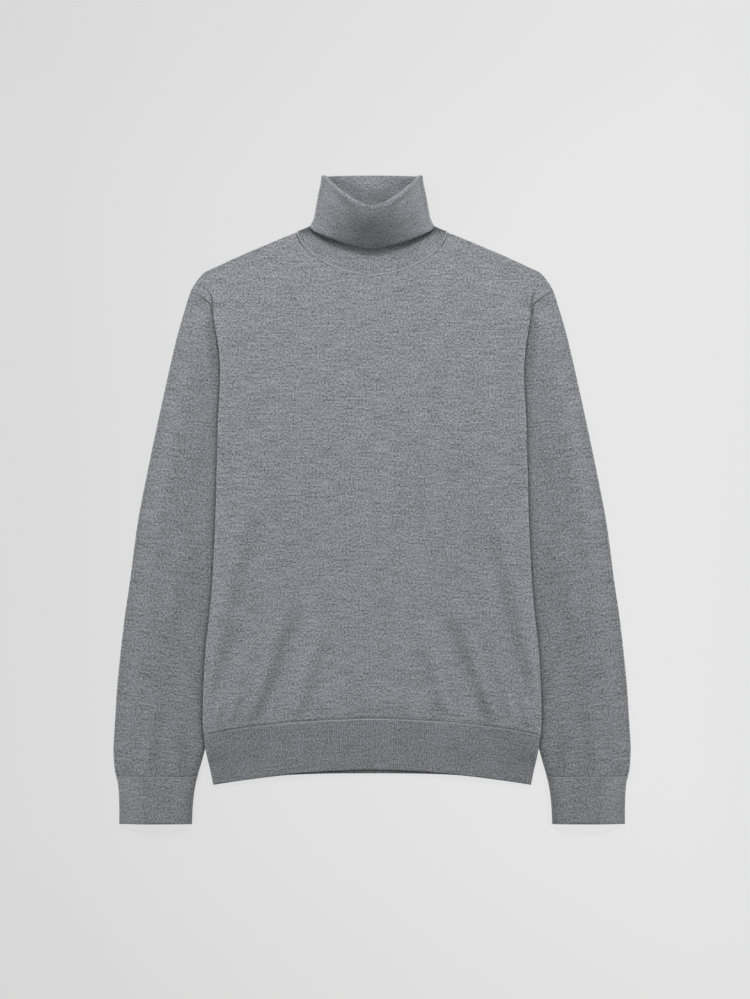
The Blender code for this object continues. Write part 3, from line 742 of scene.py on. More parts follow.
def tubeRing(inner, outer, bow):
    width = math.hypot(outer[0] - inner[0], outer[1] - inner[1])

    def place(share):
        shift = bow(share)
        x = blend(inner[0], outer[0], share) + shift[0]
        y = blend(inner[1], outer[1], share) + shift[1]
        return x, y

    def marginAt(end):
        # Share of the width that puts the fold's centre one fold away from this end.
        margin = foldOuter / width
        for again in range(sleeve["marginRounds"]):
            margin *= foldOuter / math.dist(place(end), place(abs(end - margin)))
        return margin

    innerMargin = marginAt(0)
    outerMargin = marginAt(1)
    count = sleeve["across"]
    upper = []
    lower = []
    for i in range(count + 1):
        share = blend(innerMargin, 1 - outerMargin, i / count)
        x, y = place(share)
        height = sleeveThick if i in (0, count) else sleeveHeight(x, y)
        upper.append((x, y, height - wall / 2))
        lower.append((x, y, wall / 2))

    def fold(centre, beside, edge, way):
        above = follow(edge, centre[1] + slopeStep)
        below = follow(edge, centre[1] - slopeStep)
        square = unit((way, -way * (above - below) / (2 * slopeStep), 0.0))
        straight = unit((centre[0] - beside[0], centre[1] - beside[1], 0.0))
        away = unit((square[0] + straight[0], square[1] + straight[1], 0.0))
        points = []
        for i in range(1, arcSteps):
            angle = math.pi * i / arcSteps
            reach = foldRadius * math.sin(angle)
            z = foldOuter + foldRadius * math.cos(angle)
            points.append((centre[0] + away[0] * reach, centre[1] + away[1] * reach, z))
        return points

    outerFold = fold(upper[-1], place(1 - 2 * outerMargin), sleeveOuter, 1)
    innerFold = fold(upper[0], place(2 * innerMargin), sleeveInner, -1)
    return upper + outerFold + lower[::-1] + innerFold[::-1]


def sleeveGrid():
    topInner = body["underarmY"]
    topOuter = body["shoulderTipY"]
    endY = sleeve["cuffSeam"] + seamGap / 2
    rings = []
    for r in range(sleeve["rows"] + 1):
        t = r / sleeve["rows"]
        innerY = blend(topInner, endY, t)
        outerY = blend(topOuter, endY, t)
        inner = (follow(sleeveInner, innerY), innerY)
        outer = (follow(sleeveOuter, outerY), outerY)

        def bow(share):
            y = blend(topInner, topOuter, share)
            straight = blend(armholeX(topInner, 1), armholeX(topOuter, 1), share)
            return (armholeX(y, 1) - straight) * (1 - t) ** sleeve["bowPower"], 0.0

        rings.append(tubeRing(inner, outer, bow))
    grid = np.array(rings)
    upper = slice(1, sleeve["across"])
    grid[:, upper, 2] -= drawnDown(fromEdge(grid, 0, False), body["armholeDip"])[:, upper]
    grid[:, upper, 2] -= drawnDown(fromEdge(grid, 0, True), body["seamDip"])[:, upper]
    # Courses lie square to the sleeve and wales follow its outer fold.
    rings, count = grid.shape[:2]
    leanX, leanY = math.sin(sleeve["lean"]), -math.cos(sleeve["lean"])
    uv = np.zeros((rings, count + 1, 2))
    across = sleeve["across"]
    for r in range(rings):
        for c in range(count + 1):
            x, y, z = grid[r, c % count]
            fromOuter = (follow(sleeveOuter, y) - x) * math.cos(sleeve["lean"])
            uv[r, c, 0] = fromOuter if c <= across + arcSteps // 2 else -fromOuter
            uv[r, c, 1] = x * leanX + y * leanY
    return grid, uv


cuff = {
    "around": 0.183,            # for the count of its ribs
    "ribHeight": 0.00003,
    "rows": 16,
}


def cuffGrid():
    rings = []
    count = ribColumns * round(cuff["around"] / knit["ribPitch"])
    for r in range(cuff["rows"] + 1):
        y = blend(sleeve["cuffSeam"] - seamGap / 2, sleeve["cuffEnd"], r / cuff["rows"])
        inner = (follow(sleeveInner, y), y)
        outer = (follow(sleeveOuter, y), y)
        rings.append(evenRing(tubeRing(inner, outer, lambda share: (0.0, 0.0)), count))
    grid = np.array(rings)
    return ribbed(grid, cuff["ribHeight"]), ringUv(grid, count / ribColumns * knit["ribPitch"])


# The roll neck: a row for each ring of the tube, front raised and back flat.
Ring = namedtuple(
    "Ring", "half frontY sideY lowY backY frontZ sideZ backZ power roundness risePower")
collar = {
    "frontFold": 0.0036,        # radius of the top fold, rounder in the raised front
    "sideFold": 0.0018,
    "backFold": 0.0012,
    "foldSmoothing": 12,
    "foldSteps": 6,
    "frontPoints": 40,
    "backPoints": 30,
    "ribs": 150,
    "ribHeight": 0.00003,
    "scallop": 0.00022,         # how far each rib stands out at the lower edge
    "rowsPerStep": 3,
}
stand = (
    Ring(0.0922, 0.2743, 0.3266, 0.3266, 0.3124, 0.0049, 0.0031, 0.0007, 2.0, 1.0, 2.6),
    Ring(0.0850, 0.2850, 0.3290, 0.3290, 0.3180, 0.0051, 0.0035, 0.0008, 2.4, 0.8, 2.6),
    Ring(0.0758, 0.2970, 0.3334, 0.3334, 0.3245, 0.0057, 0.0040, 0.0013, 2.4, 0.6, 2.6),
    Ring(0.0685, 0.3090, 0.3400, 0.3400, 0.3330, 0.0085, 0.0050, 0.0028, 2.4, 0.2, 2.6),
    Ring(0.0655, 0.3210, 0.3520, 0.3520, 0.3460, 0.0145, 0.0058, 0.0031, 2.4, 0.0, 2.6),
    Ring(0.0635, 0.3340, 0.3660, 0.3660, 0.3620, 0.0230, 0.0063, 0.0031, 2.4, 0.0, 2.6),
    Ring(0.0608, 0.3460, 0.3800, 0.3800, 0.3780, 0.0320, 0.0067, 0.0031, 2.0, 0.0, 2.3),
    Ring(0.0586, 0.3545, 0.3932, 0.3932, 0.3944, 0.0385, 0.0069, 0.0031, 1.65, 0.0, 2.0),
)
flap = (
    Ring(0.0626, 0.3455, 0.3850, 0.3855, 0.3860, 0.0438, 0.0094, 0.0007, 1.70, 0.0, 2.1),
    Ring(0.0652, 0.3365, 0.3730, 0.3745, 0.3760, 0.0388, 0.0092, 0.0007, 1.75, 0.0, 2.4),
    Ring(0.0677, 0.3270, 0.3590, 0.3620, 0.3640, 0.0314, 0.0090, 0.0007, 1.75, 0.0, 2.9),
    Ring(0.0696, 0.3175, 0.3455, 0.3510, 0.3530, 0.0236, 0.0087, 0.0007, 1.70, 0.0, 3.6),
    Ring(0.0712, 0.3120, 0.3370, 0.3460, 0.3450, 0.0188, 0.0085, 0.0007, 1.65, 0.0, 4.2),
    Ring(0.0756, 0.3068, 0.3284, 0.3375, 0.3390, 0.0138, 0.0080, 0.0007, 1.60, 0.0, 4.8),
)


def neckRing(ring, count):
    radius = (ring.sideZ - ring.backZ) / 2
    reach = ring.half - radius
    half = []
    for i in range(collar["frontPoints"] + 1):
        q = math.sin(math.pi / 2 * i / collar["frontPoints"])
        shape = blend(q ** ring.power, frontNeckShape(q), ring.roundness)
        z = blend(ring.sideZ, ring.frontZ, 1 - q ** ring.risePower)
        half.append((reach * q, blend(ring.frontY, ring.sideY, shape), z))
    back = []
    for i in range(collar["backPoints"], -1, -1):
        q = math.sin(math.pi / 2 * i / collar["backPoints"])
        back.append((reach * q, blend(ring.backY, ring.lowY, backNeckShape(q)), ring.backZ))
    half += foldArc(half[-2:], (back[1], back[0])) + back
    return evenRing(half[:-1] + [(-x, y, z) for x, y, z in half[:0:-1]], count)


def topFold(last, before):
    # Rings round the top fold, from the end of the stand out and over to the flap.
    end = stand[-1]
    around = np.roll(last, -2, axis=0) - np.roll(last, 2, axis=0)
    around /= np.linalg.norm(around, axis=1, keepdims=True)
    up = last - before
    up /= np.linalg.norm(up, axis=1, keepdims=True)
    out = np.cross(around, up)
    for again in range(collar["foldSmoothing"]):
        out = out + 0.5 * (np.roll(out, 1, axis=0) + np.roll(out, -1, axis=0))
        out /= np.linalg.norm(out, axis=1, keepdims=True)
        up = up + 0.5 * (np.roll(up, 1, axis=0) + np.roll(up, -1, axis=0))
        up /= np.linalg.norm(up, axis=1, keepdims=True)
    up = up - out * (up * out).sum(axis=1, keepdims=True)
    up /= np.linalg.norm(up, axis=1, keepdims=True)
    raised = np.array([ease((p[2] - end.sideZ) / (end.frontZ - end.sideZ)) for p in last])
    beside = np.array([ease((p[2] - end.backZ) / (end.sideZ - end.backZ)) for p in last])
    radius = blend(collar["backFold"], collar["sideFold"], beside)
    radius = blend(radius, collar["frontFold"], raised)[:, None]
    rings = []
    for k in range(1, collar["foldSteps"] + 1):
        angle = math.pi * k / collar["foldSteps"]
        rings.append(last + up * radius * math.sin(angle) + out * radius * (1 - math.cos(angle)))
    return rings


def smoothAlong(grid, steps):
    # More rings, on a smooth curve through each column.
    padded = np.concatenate([2 * grid[:1] - grid[1:2], grid, 2 * grid[-1:] - grid[-2:-1]])
    rows = []
    for r in range(len(grid) - 1):
        a, b, c, d = padded[r:r + 4]
        gap0 = np.maximum(np.linalg.norm(b - a, axis=1, keepdims=True), 1e-9) ** 0.5
        gap1 = np.maximum(np.linalg.norm(c - b, axis=1, keepdims=True), 1e-9) ** 0.5
        gap2 = np.maximum(np.linalg.norm(d - c, axis=1, keepdims=True), 1e-9) ** 0.5
        m1 = ((b - a) / gap0 - (c - a) / (gap0 + gap1) + (c - b) / gap1) * gap1
        m2 = ((c - b) / gap1 - (d - b) / (gap1 + gap2) + (d - c) / gap2) * gap1
        rows += [curveBetween(b, m1, c, m2, k / steps) for k in range(steps)]
    rows.append(grid[-1])
    return np.array(rows)


def collarGrid():
    count = ribColumns * collar["ribs"]
    upward = [neckRing(ring, count) for ring in stand]
    downward = [neckRing(ring, count) for ring in flap]
    rings = upward + topFold(upward[-1], upward[-2]) + downward
    grid = smoothAlong(np.array(rings), collar["rowsPerStep"])
    uv = ringUv(grid, collar["ribs"] * knit["ribPitch"])
    grid = ribbed(grid, collar["ribHeight"])
    ridge = 0.5 + 0.5 * ribWave(count)
    down = grid[-1] - grid[-2]
    down /= np.linalg.norm(down, axis=1, keepdims=True)
    grid[-1] += down * (collar["scallop"] * ridge)[:, None]
    grid[-2] += down * (collar["scallop"] * 0.5 * ridge)[:, None]
    return grid, uv


class Value:
    # Wraps a shader socket, so that sums on values add their Math nodes.
    def __init__(self, tree, socket):
        self.tree = tree
        self.socket = socket

    def maths(self, operation, *terms):
        node = make(self.tree, "ShaderNodeMath", {"operation": operation}, dict(enumerate(terms)))
        return Value(self.tree, node.outputs[0])

    def __add__(self, other):
        return self.maths("ADD", self, other)

    def __radd__(self, other):
        return self.maths("ADD", other, self)

    def __sub__(self, other):
        return self.maths("SUBTRACT", self, other)

    def __rsub__(self, other):
        return self.maths("SUBTRACT", other, self)

    def __mul__(self, other):
        return self.maths("MULTIPLY", self, other)

    def __rmul__(self, other):
        return self.maths("MULTIPLY", other, self)

    def __truediv__(self, other):
        return self.maths("DIVIDE", self, other)

    def __abs__(self):
        return self.maths("ABSOLUTE", self)

    def wave(self):
        return self.maths("COSINE", self * (2 * math.pi))

    def part(self):
        return self.maths("FRACT", self)

    def clamped(self):
        return self.maths("MINIMUM", self.maths("MAXIMUM", self, 0.0), 1.0)


def make(tree, kind, settings, sockets):
    node = tree.nodes.new(kind)
    for name, value in settings.items():
        setattr(node, name, value)
    for name, value in sockets.items():
        if isinstance(value, Value):
            tree.links.new(value.socket, node.inputs[name])
        else:
            node.inputs[name].default_value = value
    return node


def newMaterial(name):
    material = bpy.data.materials.new(name)
    material.use_nodes = True
    material.node_tree.nodes.clear()
    return material, material.node_tree


# Noise of the melange, in waves to a metre across and along the knit.
Fleck = namedtuple("Fleck", "across along detail seed")
fibreFleck = Fleck(460, 470, 2.0, 0.0)
yarnFleck = Fleck(45, 380, 1.0, 4.0)
cloudFleck = Fleck(30, 45, 2.0, 9.0)
finish = {
    "fleckRoughness": 0.6,
    "fleckGain": 3.0,           # brings the noise to about -1 to 1
    "courseBow": 1.2,           # how far a course bends down between two wales
    "stitchPaintedShade": 0.20,         # painted shade: share of its tone lost between the stitches
    "bump": 0.40,
    "bumpDepth": 0.0004,
    "fibreBump": 0.35,          # against a stitch's height
    "grooveBump": 1.5,
    "roughness": 0.86,
    "roughnessChange": 0.04,
    "specular": 0.18,
    "sheen": 0.60,
    "sheenRoughness": 0.4,
}
# What differs from knit to knit. The groove beside a seam is a bumped line with painted shade, and a
# piece with no stored distance counts as lying on its seam throughout.
Look = namedtuple("Look", "shade fibre yarn cloud ribDark ribBump grooveAt grooveReach grooveDark")
jerseyLook = Look((0.318, 0.324, 0.347), 1.0, 0.26, 0.10, 0.0, 0.0, 0.0009, 0.0017, 0.14)
# The hem, collar and cuffs are the jersey's yarn: painted shade makes the hem and collar darker, painted
# light the cuffs lighter.
hemLook = Look((0.298, 0.304, 0.327), 0.90, 0.18, 0.10, 0.24, 1.0, 1.0, 0.0018, 0.0)
collarLook = Look((0.308, 0.314, 0.337), 0.95, 0.20, 0.10, 0.06, 0.3, 1.0, 0.0018, 0.0)
cuffLook = Look((0.322, 0.328, 0.351), 0.95, 0.20, 0.14, 0.04, 0.2, 1.0, 0.0018, 0.0)


def fleckAt(tree, u, v, fleck):
    # Noise between about -1 and 1 on the cloth's own metres.
    place = make(tree, "ShaderNodeCombineXYZ", {}, {
        0: u * fleck.across, 1: v * fleck.along, 2: fleck.seed,
    })
    cloud = make(tree, "ShaderNodeTexNoise", {"noise_dimensions": "3D"}, {
        "Vector": Value(tree, place.outputs[0]), "Scale": 1.0, "Detail": fleck.detail,
        "Roughness": finish["fleckRoughness"],
    })
    return (Value(tree, cloud.outputs["Fac"]) - 0.5) * finish["fleckGain"]


def knitMaterial(name, look):
    # Melange knit: stitches from the piece's own metres, fibres from noise along the courses.
    material, tree = newMaterial(name)
    uvMap = make(tree, "ShaderNodeUVMap", {"uv_map": "cloth"}, {})
    split = make(tree, "ShaderNodeSeparateXYZ", {}, {0: Value(tree, uvMap.outputs[0])})
    u = Value(tree, split.outputs[0])
    v = Value(tree, split.outputs[1])

    across = abs((u / knit["walePitch"]).part() - 0.5)
    leg = 0.5 + 0.5 * ((across - 0.25) * 2.0).wave()
    course = (v / knit["coursePitch"] + across * finish["courseBow"]).part()
    loop = 0.5 - 0.5 * course.wave()
    stitch = leg * loop

    fibre = fleckAt(tree, u, v, fibreFleck)
    yarn = fleckAt(tree, u, v, yarnFleck)
    cloud = fleckAt(tree, u, v, cloudFleck)
    tone = 1.0 + fibre * look.fibre + yarn * look.yarn + cloud * look.cloud
    # Painted shade between the stitches.
    tone = tone * (1.0 - finish["stitchPaintedShade"] * (1.0 - stitch))
    ridge = 0.5 + 0.5 * (u / knit["ribPitch"]).wave()
    # Painted shade between the ribs.
    tone = tone * (1.0 - look.ribDark * (1.0 - ridge))
    stored = {}
    for mark in ("fromSeam", "shaded"):
        node = make(tree, "ShaderNodeAttribute", {"attribute_name": mark}, {})
        stored[mark] = Value(tree, node.outputs["Fac"])
    groove = (1.0 - abs(stored["fromSeam"] - look.grooveAt) / look.grooveReach).clamped()
    # Painted shade along the groove beside a seam, then the painted shade and painted light stored on the
    # piece.
    tone = tone * (1.0 - look.grooveDark * groove) * (1.0 - stored["shaded"])
    height = stitch + ridge * look.ribBump - finish["grooveBump"] * groove
    colour = make(tree, "ShaderNodeVectorMath", {"operation": "SCALE"}, {0: look.shade, "Scale": tone})
    bump = make(tree, "ShaderNodeBump", {}, {
        "Strength": finish["bump"], "Distance": finish["bumpDepth"],
        "Height": height + fibre * finish["fibreBump"],
    })
    roughness = (finish["roughness"] + fibre * finish["roughnessChange"]).clamped()
    shader = make(tree, "ShaderNodeBsdfPrincipled", {}, {
        "Base Color": Value(tree, colour.outputs[0]), "Roughness": roughness, "Metallic": 0.0,
        "Specular IOR Level": finish["specular"], "Sheen Weight": finish["sheen"],
        "Sheen Roughness": finish["sheenRoughness"], "Normal": Value(tree, bump.outputs[0]),
    })
    output = make(tree, "ShaderNodeOutputMaterial", {}, {})
    tree.links.new(shader.outputs[0], output.inputs["Surface"])
    return material


linkingYarn = {
    "shade": (0.50, 0.507, 0.53),
    "leastTone": 0.8,
    "toneRange": 0.4,
    "fleck": 900.0,
    "fleckDetail": 2.0,
    "roughness": 0.85,
    "specular": 0.2,
    "sheen": 0.2,
    "hemPaintedShade": 0.42,            # painted shade: share of its tone that the hem's yarn loses at the sides
    "neckPaintedLight": -0.25,          # painted light: the neck's gains there
    # painted shade on the cuffs' yarn towards the sides
    "cuffPaintedShade": 0.18,
    "fadeReach": 0.19,
}


def yarnMaterial(name, fade):
    # Linking yarn whose tone changes towards the sides: painted shade where the fade is above 0, painted
    # light where it is below 0.
    material, tree = newMaterial(name)
    place = make(tree, "ShaderNodeTexCoord", {}, {})
    cloud = make(tree, "ShaderNodeTexNoise", {}, {
        "Vector": Value(tree, place.outputs["Object"]), "Scale": linkingYarn["fleck"],
        "Detail": linkingYarn["fleckDetail"],
    })
    split = make(tree, "ShaderNodeSeparateXYZ", {}, {0: Value(tree, place.outputs["Object"])})
    aside = (abs(Value(tree, split.outputs[0])) / linkingYarn["fadeReach"]).clamped()
    tone = linkingYarn["leastTone"] + linkingYarn["toneRange"] * Value(tree, cloud.outputs["Fac"])
    colour = make(tree, "ShaderNodeVectorMath", {"operation": "SCALE"}, {
        0: linkingYarn["shade"], "Scale": tone * (1.0 - fade * aside),
    })
    shader = make(tree, "ShaderNodeBsdfPrincipled", {}, {
        "Base Color": Value(tree, colour.outputs[0]), "Roughness": linkingYarn["roughness"],
        "Specular IOR Level": linkingYarn["specular"], "Sheen Weight": linkingYarn["sheen"],
    })
    output = make(tree, "ShaderNodeOutputMaterial", {}, {})
    tree.links.new(shader.outputs[0], output.inputs["Surface"])
    return material


jersey = knitMaterial("melangeJersey", jerseyLook)
hemRib = knitMaterial("melangeHemRib", hemLook)
collarRib = knitMaterial("melangeCollarRib", collarLook)
cuffRib = knitMaterial("melangeCuffRib", cuffLook)
hemYarn = yarnMaterial("hemYarn", linkingYarn["hemPaintedShade"])
neckYarn = yarnMaterial("neckYarn", linkingYarn["neckPaintedLight"])
cuffYarn = yarnMaterial("cuffYarn", linkingYarn["cuffPaintedShade"])
print("materials made")


def addCloth(name, grid, uv, closed, material):
    rows, columns = grid.shape[:2]
    last = columns if closed else columns - 1
    faces = []
    corners = []
    for r in range(rows - 1):
        for c in range(last):
            right = (c + 1) % columns
            faces.append((r * columns + c, r * columns + right,
                          (r + 1) * columns + right, (r + 1) * columns + c))
            corners += [uv[r, c], uv[r, c + 1], uv[r + 1, c + 1], uv[r + 1, c]]
    mesh = bpy.data.meshes.new(name)
    mesh.from_pydata(grid.reshape(-1, 3).tolist(), [], faces)
    layer = mesh.uv_layers.new(name="cloth")
    layer.data.foreach_set("uv", np.array(corners).ravel())
    mesh.materials.append(material)
    mesh.shade_smooth()
    piece = bpy.data.objects.new(name, mesh)
    bpy.context.scene.collection.objects.link(piece)
    thickness = piece.modifiers.new("wall", "SOLIDIFY")
    thickness.thickness = wall
    thickness.offset = 0.0
    shading = piece.modifiers.new("shading", "WEIGHTED_NORMAL")    # keeps cut edges from darkening
    shading.weight = 90
    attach(piece, "root")
    diagonal1 = grid[1:, 1:] - grid[:-1, :-1]
    diagonal2 = grid[1:, :-1] - grid[:-1, 1:]
    area = np.linalg.norm(np.cross(diagonal1, diagonal2), axis=2).sum() / 2
    print("cloth", name, rows, columns, "area", round(float(area), 4))
    return piece


def otherSide(grid):
    return grid * np.array([-1.0, 1.0, 1.0])


def turned(grid, uv):
    # The mirrored tube, its columns the other way round from the same first one.
    return np.roll(otherSide(grid)[:, ::-1], 1, axis=1), uv[:, ::-1]


frontGrid, frontUv = frontPanelGrid()
backGrid, backUv = backPanelGrid()
hemRings, hemUv = hemGrid()
sleeveRings, sleeveUv = sleeveGrid()
cuffRings, cuffUv = cuffGrid()
collarRings, collarUv = collarGrid()
print("grids made")

frontPanel = addCloth("frontPanel", frontGrid, frontUv, False, jersey)
backPanel = addCloth("backPanel", backGrid, backUv, False, jersey)
hemBand = addCloth("hemBand", hemRings, hemUv, True, hemRib)
collarPiece = addCloth("rollCollar", collarRings, collarUv, True, collarRib)
leftSleeve = addCloth("leftSleeve", sleeveRings, sleeveUv, True, jersey)
rightSleeve = addCloth("rightSleeve", *turned(sleeveRings, sleeveUv), True, jersey)
leftCuff = addCloth("leftCuff", cuffRings, cuffUv, True, cuffRib)
rightCuff = addCloth("rightCuff", *turned(cuffRings, cuffUv), True, cuffRib)

for piece, node, slot in (
    (frontPanel, "front_panel", "jersey"), (backPanel, "back_panel", "jersey"),
    (hemBand, "hem_band", "rib"), (collarPiece, "collar", "rib"),
    (leftSleeve, "sleeve_left", "jersey"), (rightSleeve, "sleeve_right", "jersey"),
    (leftCuff, "cuff_left", "rib"), (rightCuff, "cuff_right", "rib"),
):
    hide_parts(node)

# Fields of a piece's flat cut: the piece, greatest width (all round on a tube), greatest length
# and area, and what it rests on.
Cut = namedtuple("Cut", "piece width length area restsOn")


def markDistance(piece, grid, line):
    # Stores how far each point is from the neck's or the hem's seam, for the groove and its painted shade
    # beside it.
    points = grid.reshape(-1, 3)
    near = np.linalg.norm(points[:, None, :2] - line[None], axis=2).min(axis=1)
    above = [abs(y - hem["sideTop"] - hemSeamRise(x)) for x, y, z in points]
    layer = piece.data.attributes.new("fromSeam", "FLOAT", "POINT")
    layer.data.foreach_set("value", np.minimum(near, above).astype(np.float32))


neckLine = []
neckLineSteps = 200
for i in range(-neckLineSteps, neckLineSteps + 1):
    q = math.sin(math.pi / 2 * i / neckLineSteps)
    neckLine.append((neck["half"] * q, blend(neck["frontY"], neck["pointY"], frontNeckShape(abs(q)))))
markDistance(frontPanel, frontGrid, np.array(neckLine))

# Painted shade beside folds, under the collar's flap and in the hem's slot, and painted light on the
# body's fold and inside the collar.
paintedLightAndShade = {                        # painted shade: share of its tone that the cloth loses; below 0, painted light
    "tuck": 0.50,
    "tuckReach": 0.0013,
    "tuckBelow": -0.3,          # the line goes on this share of its length below the bend
    "side": 0.26,
    "sideHigh": 0.48,           # towards the armhole
    "sideReach": 0.0019,
    "highFrom": 0.04,           # along Y
    "highTo": 0.17,
    "flap": 0.42,
    "flapAside": 0.56,          # where the flap's edge rises to the side
    "flapAsideFrom": 0.020,
    "flapAsideEase": 0.030,
    "standShare": 0.27,         # of a ring, from its middle in front to where the stand goes under
    "flapShare": 0.25,
    "flapReach": 0.0050,
    "flapMiddle": 0.09,         # painted shade on the flap itself, where it turns away from the lamp
    "flapHalf": 0.034,
    "slot": 0.66,               # painted shadow inside the hem rib, beneath its front edge
    "slotReach": 0.0024,
    "slotEase": 0.0016,
    "hemEdge": 0.36,            # painted shade on that edge itself
    "hemEdgeAside": 0.56,       # and where the gap under it closes, to the side
    "hemEdgeReach": 0.0012,
    "asideFrom": 0.030,         # that share sets in here
    "asideTo": 0.130,           # and the line has run out here
    "asideEase": 0.030,
    "rim": -0.07,               # painted highlight: the body's fold catches more light
    "rimReach": 0.0030,
    "backMiddle": -0.10,        # painted light inside the collar, in its middle
    # painted shade inside the collar at its corners
    "backCorner": 0.14,
    "backReach": 0.056,         # from the middle to the corner
}


# Stores each point's painted shade, and painted light where below 0, for the cloth's material.
def markShade(piece, grid, shadeAt):
    rows, columns = grid.shape[:2]
    values = [shadeAt(r, c, *grid[r, c]) for r in range(rows) for c in range(columns)]
    layer = piece.data.attributes.new("shaded", "FLOAT", "POINT")
    layer.data.foreach_set("value", np.array(values, dtype=np.float32))


# Painted shade along the tuck line above the bend, and a painted highlight on the body's fold below it.
def tuckShade(r, c, x, y, z):
    up = (y - body["bendY"]) / (tuck["topY"] - body["bendY"])
    if up <= paintedLightAndShade["tuckBelow"]:
        return paintedLightAndShade["rim"] * math.exp(-max(0.0, follow(sideFold, y) - abs(x)) / paintedLightAndShade["rimReach"])
    if up >= 1.0:
        return 0.0
    up = max(up, 0.0)
    off = tuck["startX"] + tuck["sweep"] * up ** tuck["sweepPower"] - abs(x)
    return paintedLightAndShade["tuck"] * math.exp(-(off / paintedLightAndShade["tuckReach"]) ** 2) * (1 - up ** 2)


# Painted shade on a sleeve beside the body's fold, deeper towards the armhole.
def besideShade(r, c, x, y, z):
    if y < hem["sideEnd"] or y > body["bendY"] or z < sleeveThick / 2:
        return 0.0
    up = (y - paintedLightAndShade["highFrom"]) / (paintedLightAndShade["highTo"] - paintedLightAndShade["highFrom"])
    most = blend(paintedLightAndShade["side"], paintedLightAndShade["sideHigh"], ease(up))
    beyond = max(0.0, abs(x) - follow(sideFold, y))
    return most * math.exp(-beyond / paintedLightAndShade["sideReach"])


# Painted shade under the flap's edge and on the flap's middle, painted light inside the collar's back and
# painted shade at its corners.
def underFlapShade(r, c, x, y, z):
    aside = min(c, collarRings.shape[1] - c) / collarRings.shape[1]
    left = (len(stand) - 1) * collar["rowsPerStep"] - r
    if left < 0:
        middling = math.exp(-(x / paintedLightAndShade["flapHalf"]) ** 2) if aside < paintedLightAndShade["flapShare"] else 0.0
        return paintedLightAndShade["flapMiddle"] * middling * ease(-left / (2 * collar["rowsPerStep"]))
    if aside > paintedLightAndShade["standShare"]:
        share = blend(paintedLightAndShade["backMiddle"], paintedLightAndShade["backCorner"], ease(abs(x) / paintedLightAndShade["backReach"]))
        return share * ease(left)
    edge = flap[-1]
    edgeY = blend(edge.frontY, edge.sideY, min(abs(x) / edge.half, 1.0) ** edge.power)
    out = ease((abs(x) - paintedLightAndShade["flapAsideFrom"]) / paintedLightAndShade["flapAsideEase"])
    most = blend(paintedLightAndShade["flap"], paintedLightAndShade["flapAside"], out)
    return most * math.exp(-max(0.0, edgeY - y) / paintedLightAndShade["flapReach"])


# Painted shadow inside the hem rib beneath its front edge, and painted shade on that edge.
def slotShade(r, c, x, y, z):
    frontEnd = hemEndY(x, hem["frontDrop"], hem["frontPower"])
    if z - lift(x, y) > wall:
        aside = ease((abs(x) - paintedLightAndShade["asideFrom"]) / paintedLightAndShade["asideEase"])
        share = blend(paintedLightAndShade["hemEdge"], paintedLightAndShade["hemEdgeAside"], aside)
        share = share * ease((paintedLightAndShade["asideTo"] - abs(x)) / paintedLightAndShade["asideEase"])
        return share if y - frontEnd < paintedLightAndShade["hemEdgeReach"] else 0.0
    return paintedLightAndShade["slot"] * ease((y - frontEnd + paintedLightAndShade["slotReach"]) / paintedLightAndShade["slotEase"])


markShade(frontPanel, frontGrid, tuckShade)
markShade(leftSleeve, sleeveRings, besideShade)
markShade(rightSleeve, turned(sleeveRings, sleeveUv)[0], besideShade)
markShade(collarPiece, collarRings, underFlapShade)
markShade(hemBand, hemRings, slotShade)

stitches = {
    "pitch": 0.0028,            # a stitch for each rib
    "length": 0.0027,
    "width": 0.0016,
    "hemInside": 0.0014,        # from the edge of the rib piece
    "neckInside": 0.0002,
    "cuffInside": 0.0003,
    "sink": 0.0001,             # of the stitch's middle below the surface
    "segments": 8,
    "rings": 5,
}


def stitchTree():
    tree = bpy.data.node_groups.new("linkingStitches", "GeometryNodeTree")
    kinds = (("Geometry", "NodeSocketGeometry"), ("pitch", "NodeSocketFloat"),
             ("length", "NodeSocketFloat"), ("width", "NodeSocketFloat"),
             ("yarn", "NodeSocketMaterial"))
    sockets = {}
    for name, kind in kinds:
        sockets[name] = tree.interface.new_socket(name, in_out="INPUT", socket_type=kind).identifier
    tree.interface.new_socket("Geometry", in_out="OUTPUT", socket_type="NodeSocketGeometry")
    given = make(tree, "NodeGroupInput", {}, {})
    take = {name: Value(tree, given.outputs[name]) for name, kind in kinds}
    path = make(tree, "GeometryNodeMeshToCurve", {}, {"Mesh": take["Geometry"]})
    points = make(tree, "GeometryNodeCurveToPoints", {"mode": "LENGTH"}, {
        "Curve": Value(tree, path.outputs[0]), "Length": take["pitch"],
    })
    bead = make(tree, "GeometryNodeMeshUVSphere", {}, {
        "Segments": stitches["segments"], "Rings": stitches["rings"], "Radius": 0.5,
    })
    size = make(tree, "ShaderNodeCombineXYZ", {}, {0: take["length"], 1: take["width"], 2: take["width"]})
    turn = make(tree, "FunctionNodeAlignRotationToVector", {"axis": "X"}, {
        "Vector": Value(tree, points.outputs["Tangent"]),
    })
    copies = make(tree, "GeometryNodeInstanceOnPoints", {}, {
        "Points": Value(tree, points.outputs["Points"]), "Instance": Value(tree, bead.outputs["Mesh"]),
        "Rotation": Value(tree, turn.outputs[0]), "Scale": Value(tree, size.outputs[0]),
    })
    real = make(tree, "GeometryNodeRealizeInstances", {}, {0: Value(tree, copies.outputs[0])})
    smooth = make(tree, "GeometryNodeSetShadeSmooth", {}, {0: Value(tree, real.outputs[0])})
    dressed = make(tree, "GeometryNodeSetMaterial", {}, {
        "Geometry": Value(tree, smooth.outputs[0]), "Material": take["yarn"],
    })
    made = make(tree, "NodeGroupOutput", {}, {})
    tree.links.new(dressed.outputs[0], made.inputs[0])
    return tree, sockets


linking, linkingSockets = stitchTree()


